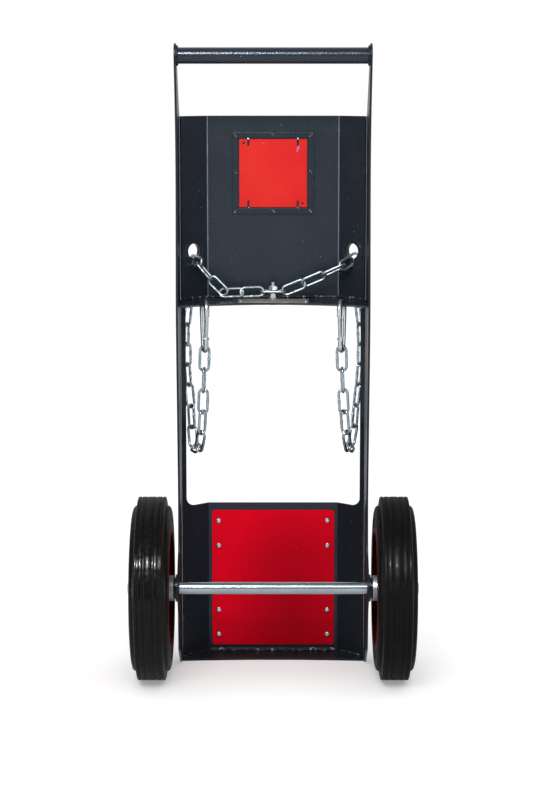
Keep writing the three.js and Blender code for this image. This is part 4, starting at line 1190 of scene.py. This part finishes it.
centreLink = ((-17, -19.75, 601.6), (17, -19.75, 601.6))
swags = {
    "right": {
        "joints": ((17.2, -20.2, 601.8), (48.7, -21.5, 614.8), (80.3, -20.5, 628.2), (112.2, -18.3, 642.2)),
        "rolls": (0, 24, 62),
        "slotLink": ((108.6, -17.9, 640.6), (135.6, 2.8, 656.0)),
        "slotRoll": -20,
    },
    "left": {
        "joints": (
            (-17.2, -20.2, 601.6), (-49.6, -25.5, 600.8), (-76.0, -34.5, 600.6), (-98.6, -29.0, 622.8),
            (-119.0, -24.4, 646.2),
        ),
        "lying": (-82.8, -31.0, 600.0),  # end of the link that lies slack on the shelf
        "rolls": (14, 34, 0, 87),
        "slotLink": ((-115.1, -26.0, 648.2), (-131.6, 7.2, 650.6)),
        "slotRoll": 15,
    },
}


def buildSwags():
    centre = linkMesh(*centreLink, (0, 0, 1))
    addPiece("centreLink", centre, chainZinc, "centre_chain_link", 40)
    for sideName, swag in swags.items():
        spans = list(zip(swag["joints"], swag["joints"][1:]))
        if "lying" in swag:
            spans[1] = (spans[1][0], swag["lying"])
        links = [levelLink(start, end, roll) for (start, end), roll in zip(spans, swag["rolls"])]
        chainPiece("swagChain", joined("links", links), sideName, chainZinc, "swag_chain", f"{sideName}_swag")
        slotLink = levelLink(*swag["slotLink"], swag["slotRoll"])
        chainPiece("keyholeLink", slotLink, sideName, chainZinc, "keyhole_link")


loops = {
    "right": {
        "joints": (
            (135.6, 2.8, 650.6), (136.4, 2.9, 614.2), (135.8, 3.0, 577.5), (139.4, 1.4, 546.6),
            (140.4, -0.9, 514.8), (140.0, -3.9, 482.6), (137.2, -7.8, 450.2), (133.5, -13.4, 417.2),
            (130.8, -22.6, 384.8), (124.6, -39.6, 356.0), (119.6, -73.0, 355.8), (114.4, -89.4, 385.2),
            (111.6, -93.0, 418.9), (109.6, -94.8, 452.8), (108.0, -95.7, 486.7), (107.0, -96.0, 520.6),
        ),
        "rolls": (45, -45, 64, -60, 64, -60, 62, -58, 48, -40, 52, -42, 14, -84, 4),
    },
    "left": {
        "joints": (
            (131.6, 6.6, 650.0), (134.4, 4.8, 613.8), (135.8, 3.0, 577.5), (139.0, 1.6, 546.2),
            (139.4, -0.8, 514.4), (138.6, -3.9, 482.2), (136.0, -8.0, 449.5), (132.6, -13.6, 416.0),
            (130.4, -22.4, 383.2), (127.0, -39.6, 354.2), (118.4, -72.8, 355.6), (112.6, -89.4, 385.0),
            (110.6, -93.2, 418.8), (109.2, -95.0, 452.7), (108.0, -95.8, 486.6), (107.0, -96.0, 520.6),
        ),
        "rolls": (45, -45, 50, -62, 36, -55, 36, -52, 30, -48, 42, -50, 14, -84, 4),
    },
}
upperLinks = {"count": 2, "play": 0.9}  # these stay in the keyhole when the loop swings


def buildLoops():
    count = upperLinks["count"]
    for sideName, side in sides:
        joints = [Vector((side * x, y, z)) for x, y, z in loops[sideName]["joints"]]
        links = []
        for i, roll in enumerate(loops[sideName]["rolls"]):
            end = joints[i + 1] - Vector((0, 0, upperLinks["play"])) if i == count - 1 else joints[i + 1]
            along = end - joints[i]
            facing = Vector((side, 0, 0)).cross(along)
            links.append(linkMesh(joints[i], end, rolled(facing, along, side * roll)))
        upper, hanging = joined("links", links[:count]), joined("links", links[count:])
        chainPiece("upperLinks", upper, sideName, hangingZinc, "chain_upper_links")
        chainPiece("hangingChain", hanging, sideName, hangingZinc, "chain_loop", f"{sideName}_chain")


buildSwags()
buildLoops()
print("chain ready")


# bolt in the middle of the shelf

bolt = {
    "radius": 4.0,
    "threadStart": 590.0,
    "pitch": 0.9,
    "end": 617.0,
    "across": 13.0,
    "bore": 4.3,
    "head": 5.3,
    "washer": (8.0, 1.6),  # radius and thickness
    "lowerNut": 8.2,
    "lockNut": 6.5,
    "lockAt": 603.85,
    "lockTurn": 0.4,
    "collar": (5.4, 1.5),  # radius and height above the lock nut
}


def hexMesh(height, bore):
    apothem = bolt["across"] / 2
    flat = apothem * 0.96
    cone = math.tan(math.radians(28))
    if bore:
        profile = [(0.0, bore), (0.0, flat), (0.4, apothem), (height - 0.4, apothem), (height, flat)]
        profile += [(height, bore), (height - 0.5, bore - 0.4), (0.5, bore - 0.4)]
    else:
        profile = [(0.0, 0.0), (0.0, flat), (0.4, apothem), (height, apothem), (height, 0.0)]

    def corners(along, radius, angle):
        if radius != apothem:
            return along, radius
        wide = hexRadius(apothem, angle)
        drop = (wide - flat) * cone
        if along < height / 2:
            return drop, wide
        return height - drop if bore else height, wide

    return lathe("hex", profile, 48, corners)


def studProfile(start):
    r, end, pitch = bolt["radius"], bolt["end"], bolt["pitch"]
    turn = bolt["threadStart"]
    profile = [(start, 0.0), (start, r), (turn, r)]
    while turn < end - 1.6:
        profile += [(turn + pitch / 2, r), (turn + pitch, r * 0.86)]
        turn += pitch
    return profile + [(end - 0.7, r * 0.9), (end, r * 0.72), (end, 0.0)]


def buildBolt():
    bore, nut = bolt["bore"], bolt["lockNut"]
    under, seat = shelf["top"] - shelf["thickness"] - seam, shelf["top"] + seam

    def onBolt(mesh, height, way=upright):
        return moved(mesh, shifted(0, shelf["bolt"] + axleForward, height) @ way)

    stud = onBolt(lathe("stud", studProfile(under - 1), 40), 0)
    head = onBolt(hexMesh(bolt["head"], 0), under, upsideDown)
    addPiece("chainBolt", joined("bolt", [stud, head]), boltZinc, "chain_bolt", 30)
    outer, thick = bolt["washer"]
    washer = lathe("washer", eased(ringProfile(seat, seat + thick, bore, outer), 0.3), 48)
    addPiece("boltWasher", onBolt(washer, 0), boltZinc, "bolt_washer", 25)
    lower = onBolt(hexMesh(bolt["lowerNut"], bore), seat + thick + seam)
    addPiece("boltLowerNut", lower, boltZinc, "bolt_lower_nut", 30)
    outer, above = bolt["collar"]
    collar = lathe("collar", eased(ringProfile(nut - 0.2, nut + above, bore, outer), 0.3), 48)
    turned = upright @ Matrix.Rotation(bolt["lockTurn"], 4, "X")
    lock = onBolt(joined("lock", [hexMesh(nut, bore), collar]), bolt["lockAt"], turned)
    addPiece("boltLockNut", lock, boltZinc, "bolt_lock_nut", 30)


buildBolt()
print("bolt ready")


# carabiners

carabiner = {
    "length": 84.8,
    "wire": 8.0,
    "gate": 5.6,
    "pin": 2.0,
    "top": 14.0,
    "eye": 8.0,
    "bottom": 512.6,
    "turn": 17.0,
    "foot": 23.0,  # height of the gate's hinge
    "lap": 4.0,
    "tip": 57.0,
}


def carabinerParts():
    c = carabiner
    eye, crown, foot, lap = c["eye"], c["top"], c["foot"], c["lap"]
    eyeZ = c["wire"] / 2 + eye
    crownZ = c["length"] - c["wire"] / 2 - crown

    def onLimb(v, side=1):
        return side * (eye + (crown - eye) * (v - eyeZ) / (crownZ - eyeZ)), v, 0

    def arc(radius, height, start, end, count):
        return [(x, y, 0) for x, y in arcPoints(0, height, radius, start, end, count)]

    route = [onLimb(foot + lap), onLimb(foot - lap)]
    route += arc(eye, eyeZ, 0, -180, 18)
    route += [onLimb(v, -1) for v in (22, 32, 42, 52)]
    route += arc(crown, crownZ, 180, 0, 26)
    route += [(crown, crownZ - 2, 0), (crown, c["tip"] + 0.8, 0)]
    last = len(route) - 1

    def bodyWave(i):
        return 0.72 if i == 0 else 0.9 if i in (1, last) else 1.0

    body = tube("carabinerBody", route, c["wire"] / 2, 16, False, bodyWave, 1.0, (0, 0, 1))
    gateRoute = spaced([onLimb(foot - lap), (crown, c["tip"], 0)], 1.5)

    def gateWave(i):
        return 0.86 if i in (0, len(gateRoute) - 1) else 1.0

    gate = tube("carabinerGate", gateRoute, c["gate"] / 2, 16, False, gateWave, 1.0, (0, 0, 1))
    reach = c["wire"] / 2 + 0.5
    pin = lathe("pin", rodProfile(-reach, reach, c["pin"], 0.5, 0.4), 24)
    return body, gate, moved(pin, shifted(*onLimb(foot)) @ upright)


def buildCarabiners():
    turn = math.radians(carabiner["turn"])
    gateSide = Vector((-math.sin(turn), -math.cos(turn), 0))
    up = Vector((0, 0, 1))
    x, inset = shelf["hook"]
    y = shelfEdgeAt(x) + inset + axleForward
    place = basis(gateSide, up, gateSide.cross(up), (x, y, carabiner["bottom"]))
    parts = [moved(mesh, place) for mesh in carabinerParts()]
    for sideName, side in sides:
        for mesh, name, body in zip(parts, ("body", "gate", "pin"), ("chain", "gate", "chain")):
            copy = mesh.copy() if side > 0 else mirroredMesh(mesh)
            node, body = f"carabiner_{name}", f"{sideName}_{body}"
            chainPiece(f"carabiner{name.title()}", copy, sideName, carabinerZinc, node, body)


buildCarabiners()
print("carabiners ready")


# welds

welds = {
    "reach": 143.0,
    "steps": 60,
    "toe": (5.8, 1.6, 3.1),  # height, off the panel and radius
    "toeWing": 1.8,
    "shelf": (590.2, 1.0, 2.2),
    "side": (146.0, 0.8, 1.5),  # place across the cart, off the panel and radius
    "sideRuns": ((6, 250), (596, 876)),
    "shelfSide": (146.6, 590.0, 1.7),  # place across the cart, height and radius
    "shelfSideRun": (4.0, 8.0, 9),  # start from the shelf's edge, step and count
}


def panelLine(z, back):
    line, reach, steps = [], welds["reach"], welds["steps"]
    for i in range(steps + 1):
        x, y = bent(unrolled(-reach + 2 * reach * i / steps), -back)
        line.append((x, y, z))
    return line


def buildWelds():
    height, back, radius = welds["toe"]
    line = panelLine(height, back)
    middle = [q for q in line if abs(q[0]) <= panel["half"]]
    weldBead("toeWeld", middle, radius, toeWeldSteel, 0.9)
    for sideName, side in sides:
        wing = [q for q in line if q[0] * side > panel["half"] - 1]
        weldBead("toeWingWeld" + sideName.title(), wing, welds["toeWing"], shelfWeld, 0.8)
    height, back, radius = welds["shelf"]
    weldBead("shelfWeld", panelLine(height, back), radius, shelfWeld, 0.8)
    for sideName, side in sides:
        title = sideName.title()
        across, back, radius = welds["side"]
        x, y = bent(unrolled(side * across), -back)
        for k, (low, high) in enumerate(welds["sideRuns"], 1):
            weldBead(f"sideWeld{title}{k}", [(x, y, low), (x, y, high)], radius, up=(side, -1, 0))
        across, height, radius = welds["shelfSide"]
        start, step, count = welds["shelfSideRun"]
        start += shelfEdgeAt(across) + axleForward
        edge = [(side * across, start + i * step, height) for i in range(count)]
        weldBead("shelfSideWeld" + title, edge, radius)


spatter = {"drops": 3, "apart": 2.4, "scatter": 0.7, "radius": (0.7, 1.5), "height": (0.5, 0.9), "shank": 0.4}
slotTips = {"upper": 1.9, "lower": 1.3, "height": 1.3, "shank": 0.6, "gap": 0.7, "sunk": 0.2}


def buildSpatter():
    # on the mitred corners and the middles of the plate's frame
    centre = redPlate["upper"][1]
    ring = (upperFrame["outside"][0] + upperFrame["inside"][0]) / 4
    stray = spatter["scatter"]
    spots = [(sx * ring, sz * ring, 45 * sx * sz) for sx in (1, -1) for sz in (1, -1)]
    spots += [(sx * ring, 2.0, -55) for sx in (1, -1)] + [(0, sz * ring, -35) for sz in (1, -1)]
    for number, (x, z, lean) in enumerate(spots, 1):
        along = Vector((math.cos(math.radians(lean)), 0, math.sin(math.radians(lean))))
        drops = []
        for k in range(spatter["drops"]):
            place = Vector((x, frameFace, z + centre)) + along * (k - 1) * spatter["apart"]
            place += Vector((random.uniform(-stray, stray), 0, random.uniform(-stray, stray)))
            radius, height = random.uniform(*spatter["radius"]), random.uniform(*spatter["height"])
            drop = lathe("drop", domeProfile(radius, height, spatter["shank"]), 12)
            drops.append(moved(drop, shifted(*place) @ outOfRear))
        addPiece(f"frameSpatter{number}", joined("drops", drops), tackWeld, sharp=60)


def buildSlotTips():
    size, centre = redPlate["upper"]
    column = redPlate["slots"][0]
    places = [(x, way) for x in (-column, column) for way in (1, -1)]
    for number, (x, way) in enumerate(places, 1):
        radius = slotTips["upper"] if way > 0 else slotTips["lower"]
        tip = lathe("tip", domeProfile(radius, slotTips["height"], slotTips["shank"]), 20)
        z = centre + way * (size / 2 + slotTips["gap"])
        tip.transform(shifted(x, frameFace + slotTips["sunk"], z) @ outOfRear)
        addPiece(f"slotTip{number}", tip, fastenerZinc, None, 30)


buildWelds()
buildSpatter()
buildSlotTips()
print("welds ready")


# floor, light and camera

studio = {
    "floorSize": 30.0,
    "floorColor": 0.82,
    "floorGlow": 0.27,
    "fill": (0.38, 0.48),  # behind the camera and ahead of it
    "fillBand": (-0.55, 0.25),
    "backdropBand": (0.0, 0.35),
}


def mathNode(tree, operation, first, second):
    node = tree.nodes.new("ShaderNodeMath")
    node.operation = operation
    for socket, value in zip(node.inputs, (first, second)):
        if isinstance(value, bpy.types.NodeSocket):
            tree.links.new(value, socket)
        else:
            socket.default_value = value
    return node.outputs[0]


def mapRange(tree, value, band, levels):
    node = tree.nodes.new("ShaderNodeMapRange")
    for name, level in zip(("From Min", "From Max", "To Min", "To Max"), (*band, *levels)):
        node.inputs[name].default_value = level
    tree.links.new(value, node.inputs["Value"])
    return node.outputs["Result"]


def buildFloor():
    size = studio["floorSize"]
    mesh = bpy.data.meshes.new("floor")
    corners = [(-size, -size, 0), (size, -size, 0), (size, size, 0), (-size, size, 0)]
    mesh.from_pydata(corners, [], [(0, 1, 2, 3)])
    floor = placed("floor", mesh)
    material, tree, shader = startMaterial("floorPale", 0.0, 0.9, grey(studio["floorColor"]))
    shader.inputs["Specular IOR Level"].default_value = 0.0
    rays = tree.nodes.new("ShaderNodeLightPath").outputs
    seen = mathNode(tree, "MAXIMUM", rays["Is Camera Ray"], rays["Is Glossy Ray"])
    seen = mathNode(tree, "MAXIMUM", seen, rays["Is Transmission Ray"])
    glow = mathNode(tree, "MULTIPLY", seen, studio["floorGlow"])
    shader.inputs["Emission Color"].default_value = (1, 1, 1, 1)
    tree.links.new(glow, shader.inputs["Emission Strength"])
    mesh.materials.append(material)


def buildWorld():
    world = bpy.data.worlds.new("studio")
    bpy.context.scene.world = world
    world.use_nodes = True
    tree = world.node_tree
    place = tree.nodes.new("ShaderNodeTexCoord")
    split = tree.nodes.new("ShaderNodeSeparateXYZ")
    tree.links.new(place.outputs["Generated"], split.inputs[0])
    fill = mapRange(tree, split.outputs["Y"], studio["fillBand"], studio["fill"])
    ahead = mapRange(tree, split.outputs["Y"], studio["backdropBand"], (0.0, 1.0))
    rays = tree.nodes.new("ShaderNodeLightPath").outputs
    mirrored = mathNode(tree, "MAXIMUM", rays["Is Glossy Ray"], rays["Is Transmission Ray"])
    backdrop = mathNode(tree, "MULTIPLY", mirrored, ahead)  # the white backdrop, as metal sees it
    white = mathNode(tree, "MAXIMUM", rays["Is Camera Ray"], backdrop)
    back = tree.nodes["Background"]
    back.inputs["Color"].default_value = (1, 1, 1, 1)
    tree.links.new(mathNode(tree, "MAXIMUM", white, fill), back.inputs["Strength"])


lamps = {  # mirrored lamps show only as reflections, the others only as light
    "keySoftbox": {
        "at": (-0.4, -3.1, 2.6), "aim": (0, 0, 0.75),
        "size": (1.8, 1.1), "watts": 58, "mirrored": False,
    },
    "browStrip": {
        "at": (-0.66, -3.1, 2.95), "aim": (-0.05, 0, 0.5),
        "size": (0.7, 0.24), "watts": 230, "mirrored": True,
    },
    "browFill": {
        "at": (0.22, -3.1, 2.95), "aim": (0.05, 0, 0.5),
        "size": (1.4, 0.2), "watts": 13, "mirrored": True,
    },
    "leftStrip": {
        "at": (-2.15, -2.2, 0.7), "aim": (0, 0, 0.7),
        "size": (0.26, 1.1), "watts": 17, "mirrored": True,
    },
    "rightStrip": {
        "at": (2.15, -2.2, 0.7), "aim": (0, 0, 0.7),
        "size": (0.26, 1.1), "watts": 17, "mirrored": True,
    },
}
skyLight = {"strength": 1.62, "spread": 130.0, "tilt": (20.0, 9.0, 0.0)}


def buildLamps():
    for name, lamp in lamps.items():
        data = bpy.data.lights.new(name, "AREA")
        data.shape = "RECTANGLE"
        data.size, data.size_y = lamp["size"]
        data.energy = lamp["watts"]
        holder = placed(name, data)
        holder.location = lamp["at"]
        way = Vector(lamp["aim"]) - Vector(lamp["at"])
        holder.rotation_euler = way.to_track_quat("-Z", "Y").to_euler()
        holder.visible_glossy = lamp["mirrored"]
        holder.visible_diffuse = not lamp["mirrored"]
    data = bpy.data.lights.new("skyLight", "SUN")
    data.energy = skyLight["strength"]
    data.angle = math.radians(skyLight["spread"])
    holder = placed("skyLight", data)
    holder.rotation_euler = [math.radians(a) for a in skyLight["tilt"]]
    holder.visible_glossy = False


view = {"lens": 95.445, "sensor": 36.0, "reach": 200, "at": (-0.001, -3.38975, 0.941), "down": 8.68}


def buildCamera():
    data = bpy.data.cameras.new("camera")
    data.lens = view["lens"]
    data.sensor_width = view["sensor"]
    data.clip_end = view["reach"]
    camera = placed("camera", data)
    camera.location = view["at"]
    camera.rotation_euler = (math.radians(90 - view["down"]), 0, 0)
    bpy.context.scene.camera = camera


buildFloor()
buildWorld()
buildLamps()
buildCamera()
bpy.context.scene.view_settings.view_transform = "Standard"
print("stage, lamps and camera ready")

bpy.context.view_layer.update()
